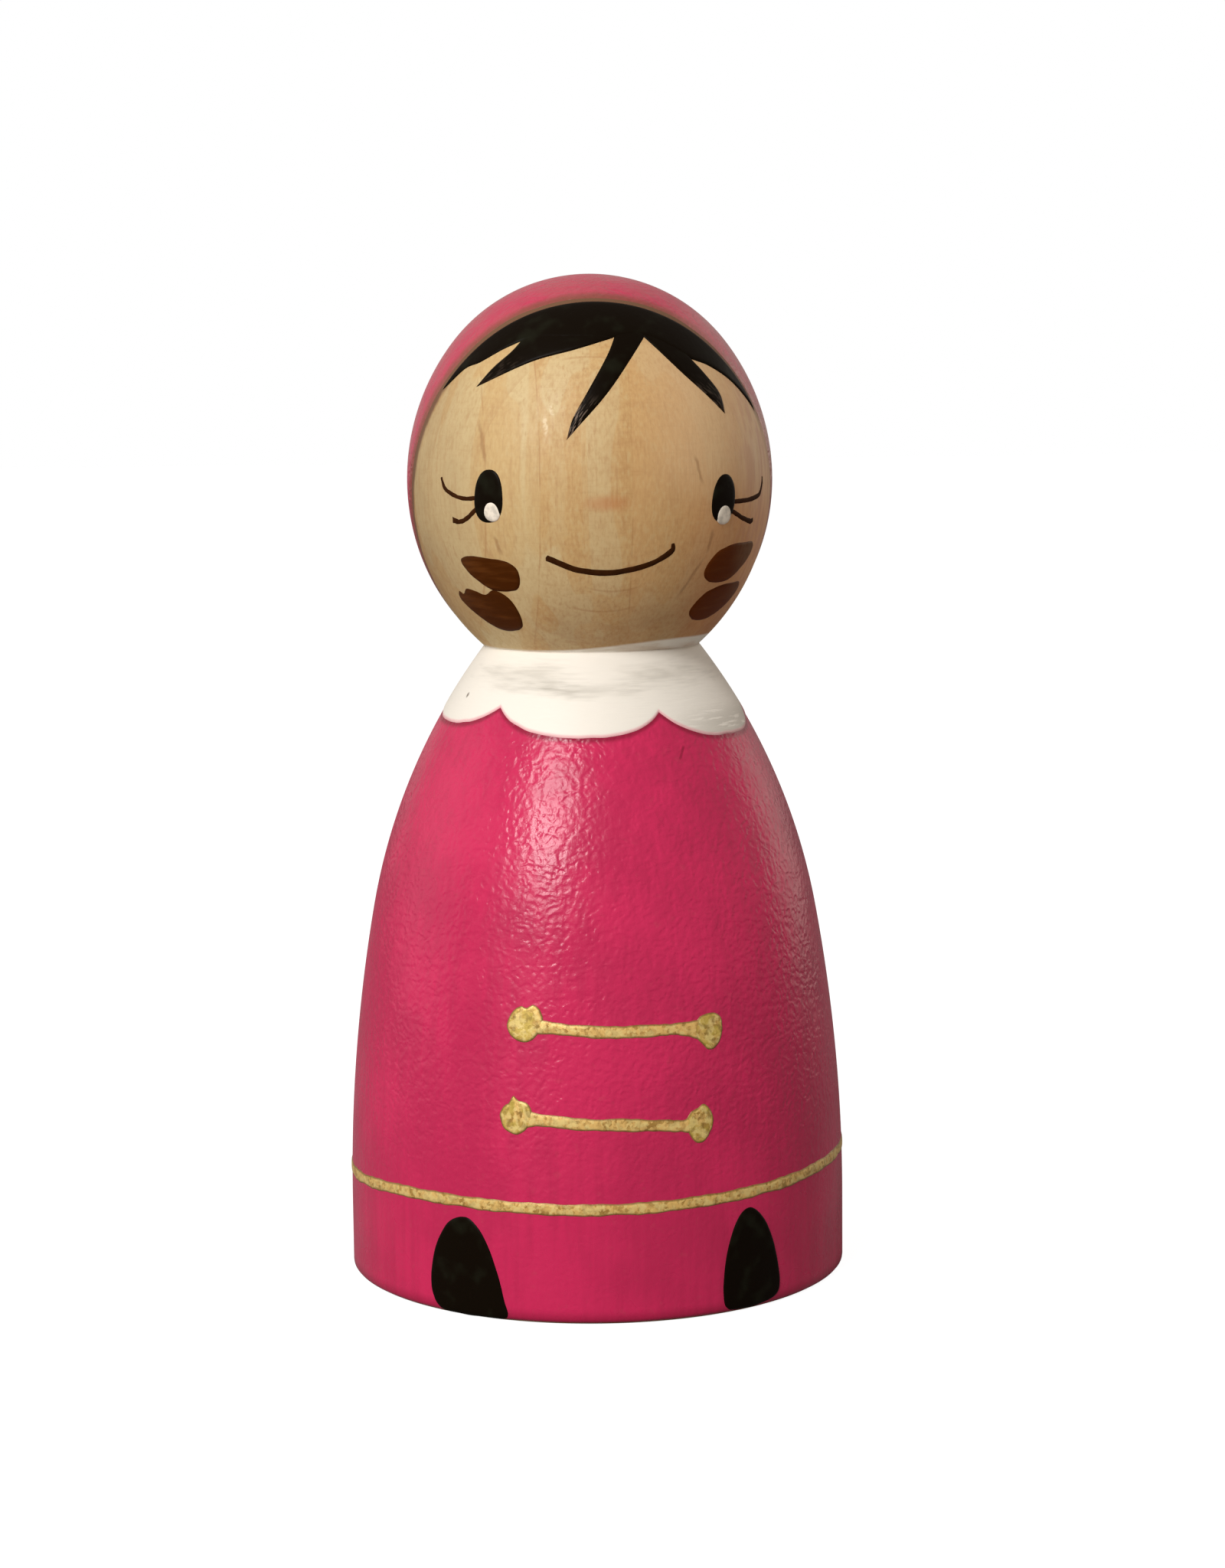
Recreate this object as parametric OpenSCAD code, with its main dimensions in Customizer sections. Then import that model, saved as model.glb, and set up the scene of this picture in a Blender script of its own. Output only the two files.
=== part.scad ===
// Painted wooden peg doll: one turned peg, and each layer of paint on it as a thin solid of its own.
// The peg's axis is Z, its base stands at Z = 0 and the face looks towards -Y.
// Left and right are the viewer's. An azimuth is in degrees round the axis from the middle of the face,
// positive to the right.

/* [Body] */
// Height of the body, from the base to the neck crease
body_height = 50.5; // [40:0.5:62]
// Diameter of the base
base_diameter = 40; // [37.5:0.5:43]
// Diameter of the waist, where the skirt flows into the chest
waist_diameter = 35.6; // [34:0.1:37]
// Diameter at the bottom of the neck crease
neck_diameter = 17; // [13:0.5:21]
// Radius of the broken edge round the base
base_edge = 0.5; // [0.2:0.1:1.2]

/* [Head] */
// Height of the head, from the neck crease to the crown
head_height = 29.5; // [25:0.5:34]
// Diameter of the head at its widest
head_diameter = 29; // [25:0.5:34]

/* [Paint] */
// Thickness of the coat, the collar, the hood and the hair
ground_coat = 0.15; // [0.08:0.01:0.3]
// Thickness of the lines, the marks and the boots
top_coat = 0.12; // [0.06:0.01:0.25]
// Width of the pen line of the smile and the lashes
ink_line = 0.34; // [0.2:0.02:0.6]

/* [Hood and hair] */
// How far the hood's edge stands in front of the axis at the head's widest
hood_front = 2.6; // [0:0.1:5]
// Lean of the hood's edge from upright, in degrees, its top towards the face
hood_lean = 17; // [5:1:25]
// Turn of the hood's edge about the axis, in degrees, its right side further forward
hood_turn = 2.6; // [-5:0.1:5]
// Width of the bare wood left between hood and hair
hood_gap = 0.5; // [0.2:0.05:1]
// Length of the longest lock below the hairline
fringe_length = 8; // [5:0.5:10]

/* [Face] */
// Width of an eye
eye_width = 2.6; // [1.8:0.1:3.4]
// Height of an eye
eye_height = 3.85; // [2.8:0.05:4.8]
// Width of the white glint in an eye
glint_width = 1.45; // [0.8:0.05:1.8]
// Length of a lash, measured straight
lash_length = 3.6; // [2.4:0.1:4.2]
// Width of the smile
smile_width = 9.6; // [6:0.2:12]
// Depth of the smile below its corners
smile_depth = 1.25; // [0.6:0.05:2]
// Width of a dark mark on the cheek
mark_width = 5.8; // [4:0.1:6.4]
// Height of a dark mark on the cheek
mark_height = 2.8; // [2:0.05:3.2]
// Room between the upper and the lower mark on the left cheek
left_mark_gap = 0.06; // [0.04:0.01:0.4]
// Room between the upper and the lower mark on the right cheek
right_mark_gap = 0.2; // [0.04:0.01:0.4]

/* [Collar] */
// Drop of the collar's lobes below the neck crease
collar_drop = 6.25; // [5:0.05:8]
// Depth of the scallops, from lobe to cusp
scallop_depth = 1.8; // [1:0.1:2.6]
// Tilt of the collar, in degrees, its right side lower
collar_tilt = 2; // [-3:0.5:3]

/* [Coat] */
// Distance between the two knobs of a toggle
toggle_span = 14.1; // [10:0.1:17]
// Width of a toggle's bar
toggle_bar = 1; // [0.6:0.05:1.4]
// Width of a toggle's knob
knob_width = 2.35; // [1.6:0.05:3]
// Height of a toggle's knob
knob_height = 2.75; // [2:0.05:3.6]
// Height of the middle of the hem line above the base
hem_height = 9.15; // [8.9:0.05:11]
// Width of the hem line
hem_width = 0.95; // [0.5:0.05:1.4]
// Tilt of the hem line, in degrees, its right side higher
hem_tilt = 1; // [-2:0.5:2]

/* [Boots] */
// Height of a boot
boot_height = 7.6; // [5:0.1:7.8]
// Width of the left boot
left_boot_width = 7; // [5:0.1:9]
// Width of the right boot
right_boot_width = 5.8; // [5:0.1:9]
// Height of the boots' soles above the base
sole_height = 0.3; // [0.2:0.05:0.5]

/* [Hidden] */
$fn = 240;

// Points drawn on each stretch between two chosen points of a curve
curve_steps = 5;
// Points drawn round an eye or a glint
oval_steps = 48;
// Squareness of an eye: 2 is an ellipse, more is squarer
eye_power = 2.35;

// Colours
bare_wood = [0.82, 0.68, 0.47];
coat_pink = [0.78, 0.24, 0.36];
collar_white = [0.93, 0.89, 0.84];
hair_black = [0.1, 0.08, 0.06];
mark_brown = [0.26, 0.13, 0.03];
line_brown = [0.35, 0.22, 0.1];
dot_white = [0.92, 0.9, 0.84];
toggle_gold = [0.81, 0.62, 0.36];
boot_black = [0.09, 0.05, 0.03];

// The turned outline: heights of its stretches, as shares of the body or the head
foot_height_share = 0.11;
waist_height_share = 0.585;
head_widest_share = 0.45;
crown_radius_share = 0.938;
// Height at which the coat of paint starts, as a share of the broken edge
paint_foot_share = 0.3;
// Two arcs that flow into each other: how far the smaller one stands out where they meet, so that they
// cross cleanly, and how far each arc runs on inside the next
arc_lip = 0.002;
arc_lap = 2;
// The finest step of an arc's radius, and the least that an arc bows
radius_step = 0.001;
least_bow = 0.01;

base_r = base_diameter / 2;
waist_r = waist_diameter / 2;
neck_r = neck_diameter / 2;
head_r = head_diameter / 2;
foot_z = foot_height_share * body_height;
waist_z = waist_height_share * body_height;
widest_z = body_height + head_widest_share * head_height;
crown_z = body_height + head_height;

// Skirt: an arc that leaves the foot upright and passes through the waist. The radius of an arc of the
// body is negative where the outline is hollow and curves round a centre outside it
skirt_in = bowed(base_r - waist_r);
skirt_rise = waist_z - foot_z;
skirt_r = in_steps((skirt_in * skirt_in + skirt_rise * skirt_rise) / (2 * skirt_in));
skirt_angle = asin(skirt_rise / skirt_r);
skirt_centre = [base_r - skirt_r, foot_z];

// Chest: an arc that flows out of the skirt and ends at the neck crease
waist_normal = [cos(skirt_angle), sin(skirt_angle)];
waist_point = skirt_centre + skirt_r * waist_normal;
chest_chord = [neck_r, body_height] - waist_point;
chest_r = (chest_chord * chest_chord) / (-2 * bowed(chest_chord * waist_normal));
chest_centre = waist_point - chest_r * waist_normal;
chest_bends_more = 1 / chest_r > 1 / skirt_r;

// Cheeks: an arc from the neck crease to the head's widest
cheek_rise = widest_z - body_height;
cheek_x = in_steps((head_r * head_r - neck_r * neck_r - cheek_rise * cheek_rise) / (2 * (head_r - neck_r)));
cheek_r = head_r - cheek_x;

// Crown: a ball cap centred on the axis, and temples: the arc that joins it to the head's widest
crown_r = crown_radius_share * min(head_r, crown_z - widest_z);
crown_centre_z = crown_z - crown_r;
crown_lift = crown_centre_z - widest_z;
temple_r = in_steps((head_r * head_r + crown_lift * crown_lift - crown_r * crown_r) / (2 * (head_r - crown_r)));
temple_x = head_r - temple_r;
crown_join = [-temple_x, crown_lift] / norm([-temple_x, crown_lift]);

// A length in whole steps of a radius
function in_steps(x) = radius_step * round(x / radius_step);
// How far an arc bows, and never quite straight
function bowed(x) = abs(x) < least_bow ? least_bow : x;
// Height of a share of the head above the neck crease, and of a share of the body above the base
function head_at(share) = body_height + share * head_height;
function body_at(share) = share * body_height;
// Radius of the chest at a height
function chest_at(z) =
    chest_centre[0] + sign(chest_r) * sqrt(chest_r * chest_r - pow(z - chest_centre[1], 2));

// Where the painted figures sit, and how they are drawn: azimuths in degrees, places and outlines in
// shares, each point as [share across, share up]
left_eye_azimuth = -39.6;
right_eye_azimuth = 38.8;
left_eye_share = 0.425;
right_eye_share = 0.408;
left_glint_share = [0.13, -0.325];
right_glint_share = [0.04, -0.325];
glint_height_share = 1.06;

// Each lash: where it leaves the eye, in shares of the eye, and its run from there, in shares of a lash's length
left_upper_root_share = [-0.5, -0.08];
left_lower_root_share = [-0.48, -0.33];
right_upper_root_share = [0.5, -0.08];
right_lower_root_share = [0.42, -0.26];
left_upper_lash_shares = [[0, 0], [-0.48, 0.02], [-0.82, 0.2], [-0.96, 0.48]];
left_lower_lash_shares = [[0, 0], [-0.21, -0.17], [-0.44, -0.25], [-0.67, -0.21]];
right_upper_lash_shares = [[0, 0], [0.5, 0.02], [1.02, 0.13], [1.2, 0.36]];
right_lower_lash_shares = [[0, 0], [0.37, -0.15], [0.64, -0.22], [0.85, -0.25]];
lash_width_shares = [1, 0.9, 1, 1.15];

smile_share = 0.261;
smile_shares = [
    [-0.51, 0], [-0.38, -0.44], [-0.27, -0.78], [-0.13, -0.95], [0, -1], [0.12, -0.85],
    [0.3, -0.42], [0.44, 0.06], [0.49, 0.38], [0.49, 0.72]
];
smile_width_shares = [1.2, 1, 1, 1, 1, 1, 1, 1, 1.2, 1];

left_upper_mark_azimuth = -43;
left_upper_mark_z = head_at(0.219);
left_upper_mark_shares = [
    [-0.96, 0.8], [-0.57, 0.93], [0.28, 0.76], [0.66, 0.68], [0.91, -0.11], [0.79, -0.68],
    [0.59, -0.93], [0.03, -0.78], [-0.47, -0.35], [-0.83, 0.19], [-0.98, 0.54]
];
left_lower_mark_azimuth = -49;
left_lower_mark_shares = [
    [-1.12, 0.82], [-0.8, 0.76], [-0.71, 1.08], [-0.37, 0.89], [0, 0.84], [0.41, 1.1], [0.67, 0.93],
    [0.9, 0.04], [0.78, -0.64], [0.64, -1.1], [0.27, -1.16], [-0.06, -1], [-0.35, -0.86], [-0.81, -0.1]
];
right_upper_mark_azimuth = 48;
right_upper_mark_z = head_at(0.234);
right_upper_mark_shares = [
    [-1.07, -0.21], [-1.03, 0.29], [-0.79, 0.86], [-0.31, 1.04], [0.3, 1.04], [1.1, 0.93],
    [0.9, 0], [0.43, -0.64], [-0.17, -0.96], [-0.62, -0.89], [-0.9, -0.64]
];
right_lower_mark_azimuth = 48;
right_lower_mark_shares = [
    [-0.93, -0.25], [-0.87, 0.29], [-0.65, 0.82], [-0.22, 0.96], [0.35, 0.89], [1.2, 0.54],
    [0.87, -0.04], [0.37, -0.74], [0, -0.93], [-0.31, -0.91], [-0.64, -0.64], [-0.84, -0.43]
];

// The hair's lower edge, stretch by stretch: [share of the head's radius, share of the longest lock]
hairline_share = 0.83;
hair_edge_shares = [
    [[-0.86, 0.48], [-0.71, 0.26], [-0.5, 0.07], [-0.38, 0]],
    [[-0.38, 0], [-0.45, 0.14], [-0.55, 0.29], [-0.64, 0.44]],
    [[-0.64, 0.44], [-0.46, 0.29], [-0.34, 0.19], [-0.16, 0.1], [0.07, 0]],
    [[0.07, 0], [0.015, 0.15], [-0.1, 0.52], [-0.19, 0.78], [-0.24, 1]],
    [[-0.24, 1], [-0.165, 0.85], [0.01, 0.54], [0.14, 0.15], [0.21, 0]],
    [[0.21, 0], [0.28, 0.11], [0.41, 0.34], [0.54, 0.56], [0.625, 0.71]],
    [[0.625, 0.71], [0.6, 0.55], [0.52, 0.35], [0.45, 0.19]],
    [[0.45, 0.19], [0.565, 0.26], [0.69, 0.39], [0.8, 0.56], [0.9, 0.75]]
];

// The collar's lobes: azimuths of the cusps between them, and how square each lobe is
cusp_azimuths = [-45.5, 19.5, 80, 140, 200, 258];
lobe_power = 4;
lobe_spread_share = 1.2;
lobe_steps = 14;

// The toggles: knobs and bar, as shares of the span
upper_toggle_share = 0.452;
lower_toggle_share = 0.307;
upper_toggle_azimuth = -2;
lower_toggle_azimuth = -4;
upper_toggle_shares = [[-0.5, 0.02], [-0.18, 0.01], [0.06, -0.017], [0.25, -0.008], [0.5, -0.045]];
lower_toggle_shares = [[-0.5, 0.045], [-0.1, 0.018], [0.1, 0], [0.29, -0.014], [0.5, -0.03]];
bar_width_shares = [1.1, 1, 1, 1, 1];
left_knob_shares = [
    [-1, 0], [-0.8, 0.68], [-0.2, 1], [0.6, 0.98], [1, 0.4], [0.85, -0.4], [0.4, -0.9], [-0.2, -1], [-0.8, -0.65]
];
right_knob_shares = [
    [-0.95, 0.35], [-0.5, 0.85], [0.15, 1], [0.85, 0.9], [1, 0.35], [0.8, -0.3], [0.35, -0.85],
    [-0.15, -1], [-0.6, -0.75], [-0.8, -0.2]
];

left_boot_azimuth = -37;
right_boot_azimuth = 29.6;
left_boot_shares = [
    [-0.05, 1], [-0.4, 0.91], [-0.77, 0.65], [-0.97, 0.37], [-0.99, 0.17], [-0.86, 0.03], [-0.5, 0],
    [0.5, 0], [0.89, 0.02], [1, 0.14], [0.87, 0.4], [0.59, 0.76], [0.33, 0.95]
];
right_boot_shares = [
    [-0.03, 1.03], [-0.37, 0.93], [-0.7, 0.7], [-0.92, 0.43], [-0.98, 0.19], [-0.85, 0.03], [-0.55, 0],
    [0.53, 0], [0.88, 0.03], [1, 0.18], [0.79, 0.46], [0.47, 0.79], [0.2, 0.98]
];

// Point at share t of a smooth curve from b to c, with a before and d after it
function curve_point(a, b, c, d, t) =
    (2 * b + (c - a) * t + (2 * a - 5 * b + 4 * c - d) * t * t + (3 * b - a - 3 * c + d) * t * t * t) / 2;

// Closed smooth curve through the chosen points
function closed_curve(points) = [
    for (i = [0 : len(points) - 1])
        for (s = [0 : curve_steps - 1])
            curve_point(
                points[(i + len(points) - 1) % len(points)],
                points[i],
                points[(i + 1) % len(points)],
                points[(i + 2) % len(points)],
                s / curve_steps
            )
];

// Open smooth curve through the chosen points, of numbers or of places
function open_curve(points) = concat(
    [
        for (i = [0 : len(points) - 2])
            for (s = [0 : curve_steps - 1])
                curve_point(
                    points[max(i - 1, 0)],
                    points[i],
                    points[i + 1],
                    points[min(i + 2, len(points) - 1)],
                    s / curve_steps
                )
    ],
    [points[len(points) - 1]]
);

// Direction square to a curve at one of its points, to its left
function across(curve, i) =
    let (run = curve[min(i + 1, len(curve) - 1)] - curve[max(i - 1, 0)])
    [-run[1], run[0]] / norm(run);

// Outline of a brush stroke along a path, with its width at each chosen point
function stroke_outline(points, widths) =
    let (path = open_curve(points), width = open_curve(widths), last = len(path) - 1)
    concat(
        [for (i = [0 : last]) path[i] + across(path, i) * width[i] / 2],
        [for (i = [last : -1 : 0]) path[i] - across(path, i) * width[i] / 2]
    );

// Power of a number that keeps its sign
function signed_power(x, power) = sign(x) * pow(abs(x), power);

// Oval of a width and height: power 2 is an ellipse, more is squarer
function oval_outline(width, height, power) = [
    for (i = [0 : oval_steps - 1])
        let (turn = 360 * i / oval_steps)
        [width / 2 * signed_power(cos(turn), 2 / power), height / 2 * signed_power(sin(turn), 2 / power)]
];

// Closed curve through shares of half a width and half a height
function mark_outline(shares, width, height) =
    closed_curve([for (s = shares) [width / 2 * s[0], height / 2 * s[1]]]);

// Half of the turned outline between two heights: what lies inside a circle, or short of the circle where
// its radius is negative
module arc_slice(centre, radius, bottom, top) {
    if (radius > 0) {
        intersection() {
            translate(centre)
                circle(r = radius);
            translate([0, bottom])
                square([base_diameter, top - bottom]);
        }
    } else {
        difference() {
            translate([0, bottom])
                square([centre[0], top - bottom]);
            translate(centre)
                circle(r = -radius);
        }
    }
}

// Half section of the body up to a top, grown by a skin of paint. Where skirt and chest meet, the one that
// bends more runs on inside the other
module body_section(skin, top) {
    waist_top = foot_z + (skirt_r + skin) * sin(skirt_angle);
    chest_lip = chest_bends_more ? arc_lip : -arc_lip;
    skirt_lap = chest_bends_more ? 0 : arc_lap;
    arc_slice([base_r - base_edge, base_edge], base_edge + skin, 0, base_edge);
    square([base_r - base_edge, foot_z]);
    translate([0, base_edge])
        square([base_r + skin, foot_z - base_edge]);
    arc_slice(skirt_centre, skirt_r + skin, foot_z, waist_top + skirt_lap);
    arc_slice(chest_centre, chest_r + skin + chest_lip, waist_top + skirt_lap - arc_lap, top);
}

// Half section of the head down to a bottom, grown by a skin of paint
module head_section(skin, bottom) {
    join_z = crown_centre_z + (crown_r + skin) * crown_join[1];
    arc_slice([cheek_x, widest_z], cheek_r + skin, bottom, widest_z);
    arc_slice([temple_x, widest_z], temple_r + skin, widest_z, join_z);
    arc_slice([0, crown_centre_z], crown_r + skin + arc_lip, join_z - arc_lap, crown_z + base_r);
}

// Layer of paint all round the body, from one depth of paint to another, clear of the ground
module body_film(inner, outer) {
    rotate_extrude()
        difference() {
            body_section(outer, body_height);
            body_section(inner, body_height + arc_lap);
            square([base_diameter, paint_foot_share * base_edge]);
        }
}

// Layer of paint round the head, all the way or for a turn from a start
module head_film(inner, outer, start = 0, turn = 360) {
    rotate_extrude(start = start, angle = turn)
        difference() {
            head_section(outer, body_height);
            head_section(inner, body_height - arc_lap);
        }
}

// Flat figure carried straight out from the axis, at an azimuth and a height
module stamp(azimuth, height) {
    rotate([0, 0, azimuth])
        translate([0, 0, height])
            rotate([90, 0, 0])
                linear_extrude(height = base_diameter)
                    children();
}

// Everything behind the hood's edge, moved forward by a clearance
module hood_side(clearance) {
    translate([0, -hood_front, widest_z])
        rotate([hood_lean, 0, -hood_turn])
            translate([-base_diameter, -clearance, -base_diameter])
                cube([2 * base_diameter, 2 * base_diameter, 2 * base_diameter]);
}

// Azimuth of the cusp that ends a lobe of the collar
function cusp_after(i) = i < len(cusp_azimuths) - 1 ? cusp_azimuths[i + 1] : cusp_azimuths[0] + 360;

// Scalloped figure of one lobe, which runs on a little past its cusps
module lobe(i) {
    cusp_z = body_height - collar_drop + scallop_depth;
    half_width = chest_at(cusp_z) * sin((cusp_after(i) - cusp_azimuths[i]) / 2);
    edge = [
        for (k = [-lobe_steps : lobe_steps])
            let (t = lobe_spread_share * k / lobe_steps)
            [half_width * t, scallop_depth * (pow(abs(t), lobe_power) - 1)]
    ];
    stamp((cusp_azimuths[i] + cusp_after(i)) / 2, cusp_z)
        polygon(concat(edge, [
            [half_width * lobe_spread_share, base_diameter],
            [-half_width * lobe_spread_share, base_diameter]
        ]));
}

// Wedge between the cusps on either side of a lobe
module wedge(i) {
    rotate_extrude(start = cusp_azimuths[i] - 90, angle = cusp_after(i) - cusp_azimuths[i])
        square([base_diameter, crown_z]);
}

// The collar's figures, tilted as one about the neck
module tilted() {
    translate([0, 0, body_height])
        rotate([0, collar_tilt, 0])
            translate([0, 0, -body_height])
                children();
}

// The body's ground coat with the first lobes left out of it
module coat_below(count) {
    if (count == 0) {
        body_film(0, ground_coat);
    } else {
        difference() {
            coat_below(count - 1);
            tilted()
                lobe(count - 1);
        }
    }
}

// Outline of an eye, flat
module eye_outline() {
    polygon(oval_outline(eye_width, eye_height, eye_power));
}

// The room of an eye's paint, from a depth in the wood
module eye_room(azimuth, share, depth) {
    intersection() {
        head_film(-depth, top_coat);
        stamp(azimuth, head_at(share))
            eye_outline();
    }
}

// Eye painted on the wood
module eye(azimuth, share) {
    color(boot_black)
        eye_room(azimuth, share, 0);
}

// White glint, over the eye where it lies on it and on the wood beside it
module glint(azimuth, share, place) {
    color(dot_white)
        difference() {
            intersection() {
                head_film(0, 2 * top_coat);
                stamp(azimuth, head_at(share))
                    translate([place[0] * eye_width, place[1] * eye_height])
                        polygon(oval_outline(glint_width, glint_height_share * glint_width, 2));
            }
            eye_room(azimuth, share, top_coat);
        }
}

// Lash that leaves an eye at its root
module lash(azimuth, share, root, shares) {
    path = [for (s = shares) [root[0] * eye_width, root[1] * eye_height] + lash_length * s];
    color(line_brown)
        intersection() {
            head_film(0, top_coat);
            stamp(azimuth, head_at(share))
                difference() {
                    polygon(stroke_outline(path, ink_line * lash_width_shares));
                    eye_outline();
                }
        }
}

// Dark mark on a cheek, with its middle at a height
module cheek_mark(azimuth, height, shares) {
    color(mark_brown)
        intersection() {
            head_film(0, top_coat);
            stamp(azimuth, height)
                polygon(mark_outline(shares, mark_width, mark_height));
        }
}

// Gold toggle: a bar with a knob at each end, on the coat
module toggle(azimuth, share, shares) {
    path = [for (s = shares) toggle_span * s];
    color(toggle_gold)
        intersection() {
            body_film(ground_coat, ground_coat + top_coat);
            stamp(azimuth, body_at(share))
                union() {
                    polygon(stroke_outline(path, toggle_bar * bar_width_shares));
                    translate(path[0])
                        polygon(mark_outline(left_knob_shares, knob_width, knob_height));
                    translate(path[len(path) - 1])
                        polygon(mark_outline(right_knob_shares, knob_width, knob_height));
                }
        }
}

// Boot painted on the coat, its sole just above the base
module boot(azimuth, width, shares) {
    color(boot_black)
        intersection() {
            body_film(ground_coat, ground_coat + top_coat);
            stamp(azimuth, sole_height)
                polygon(closed_curve([for (s = shares) [width / 2 * s[0], boot_height * s[1]]]));
        }
}

module turned_peg() {
    color(bare_wood)
        rotate_extrude() {
            body_section(0, body_height + arc_lap);
            head_section(0, body_height - arc_lap);
        }
}

module coat() {
    color(coat_pink)
        coat_below(len(cusp_azimuths));
}

module collar() {
    color(collar_white)
        for (i = [0 : len(cusp_azimuths) - 1])
            intersection() {
                body_film(0, ground_coat);
                tilted()
                    intersection() {
                        lobe(i);
                        wedge(i);
                    }
            }
}

// Hood, in two halves that meet in the middle
module hood() {
    color(coat_pink)
        for (start = [-90, 90])
            intersection() {
                head_film(0, ground_coat, start, 180);
                hood_side(0);
            }
}

module hair() {
    edge = [for (stretch = hair_edge_shares) each open_curve(stretch)];
    color(hair_black)
        difference() {
            intersection() {
                head_film(0, ground_coat);
                stamp(0, head_at(hairline_share))
                    polygon(concat([for (p = edge) [head_r * p[0], -fringe_length * p[1]]], [
                        [base_diameter, 0],
                        [base_diameter, head_height],
                        [-base_diameter, head_height],
                        [-base_diameter, 0]
                    ]));
            }
            hood_side(hood_gap);
        }
}

module smile() {
    color(line_brown)
        intersection() {
            head_film(0, top_coat);
            stamp(0, head_at(smile_share))
                polygon(stroke_outline(
                    [for (s = smile_shares) [smile_width * s[0], smile_depth * s[1]]],
                    ink_line * smile_width_shares
                ));
        }
}

module hem_line() {
    color(toggle_gold)
        intersection() {
            body_film(ground_coat, ground_coat + top_coat);
            translate([0, 0, hem_height])
                rotate([0, -hem_tilt, 0])
                    translate([-base_diameter, -base_diameter, -hem_width / 2])
                        cube([2 * base_diameter, 2 * base_diameter, hem_width]);
        }
}

turned_peg();
coat();
collar();
hood();
hair();
eye(left_eye_azimuth, left_eye_share);  // left_eye
eye(right_eye_azimuth, right_eye_share);  // right_eye
glint(left_eye_azimuth, left_eye_share, left_glint_share);  // left_glint
glint(right_eye_azimuth, right_eye_share, right_glint_share);  // right_glint
lash(left_eye_azimuth, left_eye_share, left_upper_root_share, left_upper_lash_shares);  // left_upper_lash
lash(left_eye_azimuth, left_eye_share, left_lower_root_share, left_lower_lash_shares);  // left_lower_lash
lash(right_eye_azimuth, right_eye_share, right_upper_root_share, right_upper_lash_shares);  // right_upper_lash
lash(right_eye_azimuth, right_eye_share, right_lower_root_share, right_lower_lash_shares);  // right_lower_lash
smile();
cheek_mark(left_upper_mark_azimuth, left_upper_mark_z, left_upper_mark_shares);  // left_upper_mark
cheek_mark(left_lower_mark_azimuth, left_upper_mark_z - mark_height - left_mark_gap, left_lower_mark_shares);  // left_lower_mark
cheek_mark(right_upper_mark_azimuth, right_upper_mark_z, right_upper_mark_shares);  // right_upper_mark
cheek_mark(right_lower_mark_azimuth, right_upper_mark_z - mark_height - right_mark_gap, right_lower_mark_shares);  // right_lower_mark
toggle(upper_toggle_azimuth, upper_toggle_share, upper_toggle_shares);  // upper_toggle
toggle(lower_toggle_azimuth, lower_toggle_share, lower_toggle_shares);  // lower_toggle
hem_line();
boot(left_boot_azimuth, left_boot_width, left_boot_shares);  // left_boot
boot(right_boot_azimuth, right_boot_width, right_boot_shares);  // right_boot
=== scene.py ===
"""A painted peg doll: turned wood with layers of brushed paint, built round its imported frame."""

import math

import bpy
import numpy as np
from mathutils import Matrix, Vector


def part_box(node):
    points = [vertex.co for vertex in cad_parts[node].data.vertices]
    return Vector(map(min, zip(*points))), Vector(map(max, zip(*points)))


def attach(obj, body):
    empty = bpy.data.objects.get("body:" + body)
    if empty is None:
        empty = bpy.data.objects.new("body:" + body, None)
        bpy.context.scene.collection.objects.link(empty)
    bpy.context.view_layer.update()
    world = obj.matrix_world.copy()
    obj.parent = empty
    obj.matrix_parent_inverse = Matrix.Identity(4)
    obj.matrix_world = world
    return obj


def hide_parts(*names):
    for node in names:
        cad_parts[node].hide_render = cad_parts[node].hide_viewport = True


bl_info = {
    "name": "Painted peg doll",
    "version": (1, 0, 0),
    "blender": (4, 5, 0),
    "location": "View3D > Sidebar > Peg doll",
    "description": "Builds a turned peg doll and the paint on it, piece by piece",
    "category": "Add Mesh",
}

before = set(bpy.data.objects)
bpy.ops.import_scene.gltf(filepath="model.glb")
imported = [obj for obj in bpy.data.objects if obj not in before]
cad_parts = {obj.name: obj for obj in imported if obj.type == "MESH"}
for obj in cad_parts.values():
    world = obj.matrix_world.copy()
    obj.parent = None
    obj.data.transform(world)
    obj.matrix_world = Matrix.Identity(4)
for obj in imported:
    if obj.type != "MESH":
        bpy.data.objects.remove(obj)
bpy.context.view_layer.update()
peg_low, peg_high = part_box("turned_peg")

MM = 0.001
BODY = "root"


def tint(red, green, blue):
    """Linear colour of a paint written in 0 to 255 screen values."""
    share = np.array([red, green, blue]) / 255
    linear = np.where(share <= 0.04045, share / 12.92, ((share + 0.055) / 1.055) ** 2.4)
    return tuple(float(part) for part in linear)


def length(name, description, default):
    """A size property in metres, given in millimetres."""
    return bpy.props.FloatProperty(
        name=name, description=description, default=default * MM, min=0,
        unit="LENGTH", subtype="DISTANCE", precision=5,
    )


def angle(name, description, default):
    """An angle property, given in degrees."""
    return bpy.props.FloatProperty(
        name=name, description=description, default=math.radians(default), subtype="ANGLE"
    )


def level(name, description, default, **more):
    """A strength property, zero or more."""
    return bpy.props.FloatProperty(name=name, description=description, default=default, min=0, **more)


def colour(name, description, default):
    """A colour property, given in screen values."""
    return bpy.props.FloatVectorProperty(
        name=name, description=description, default=tint(*default),
        size=3, min=0, max=1, subtype="COLOR",
    )


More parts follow.
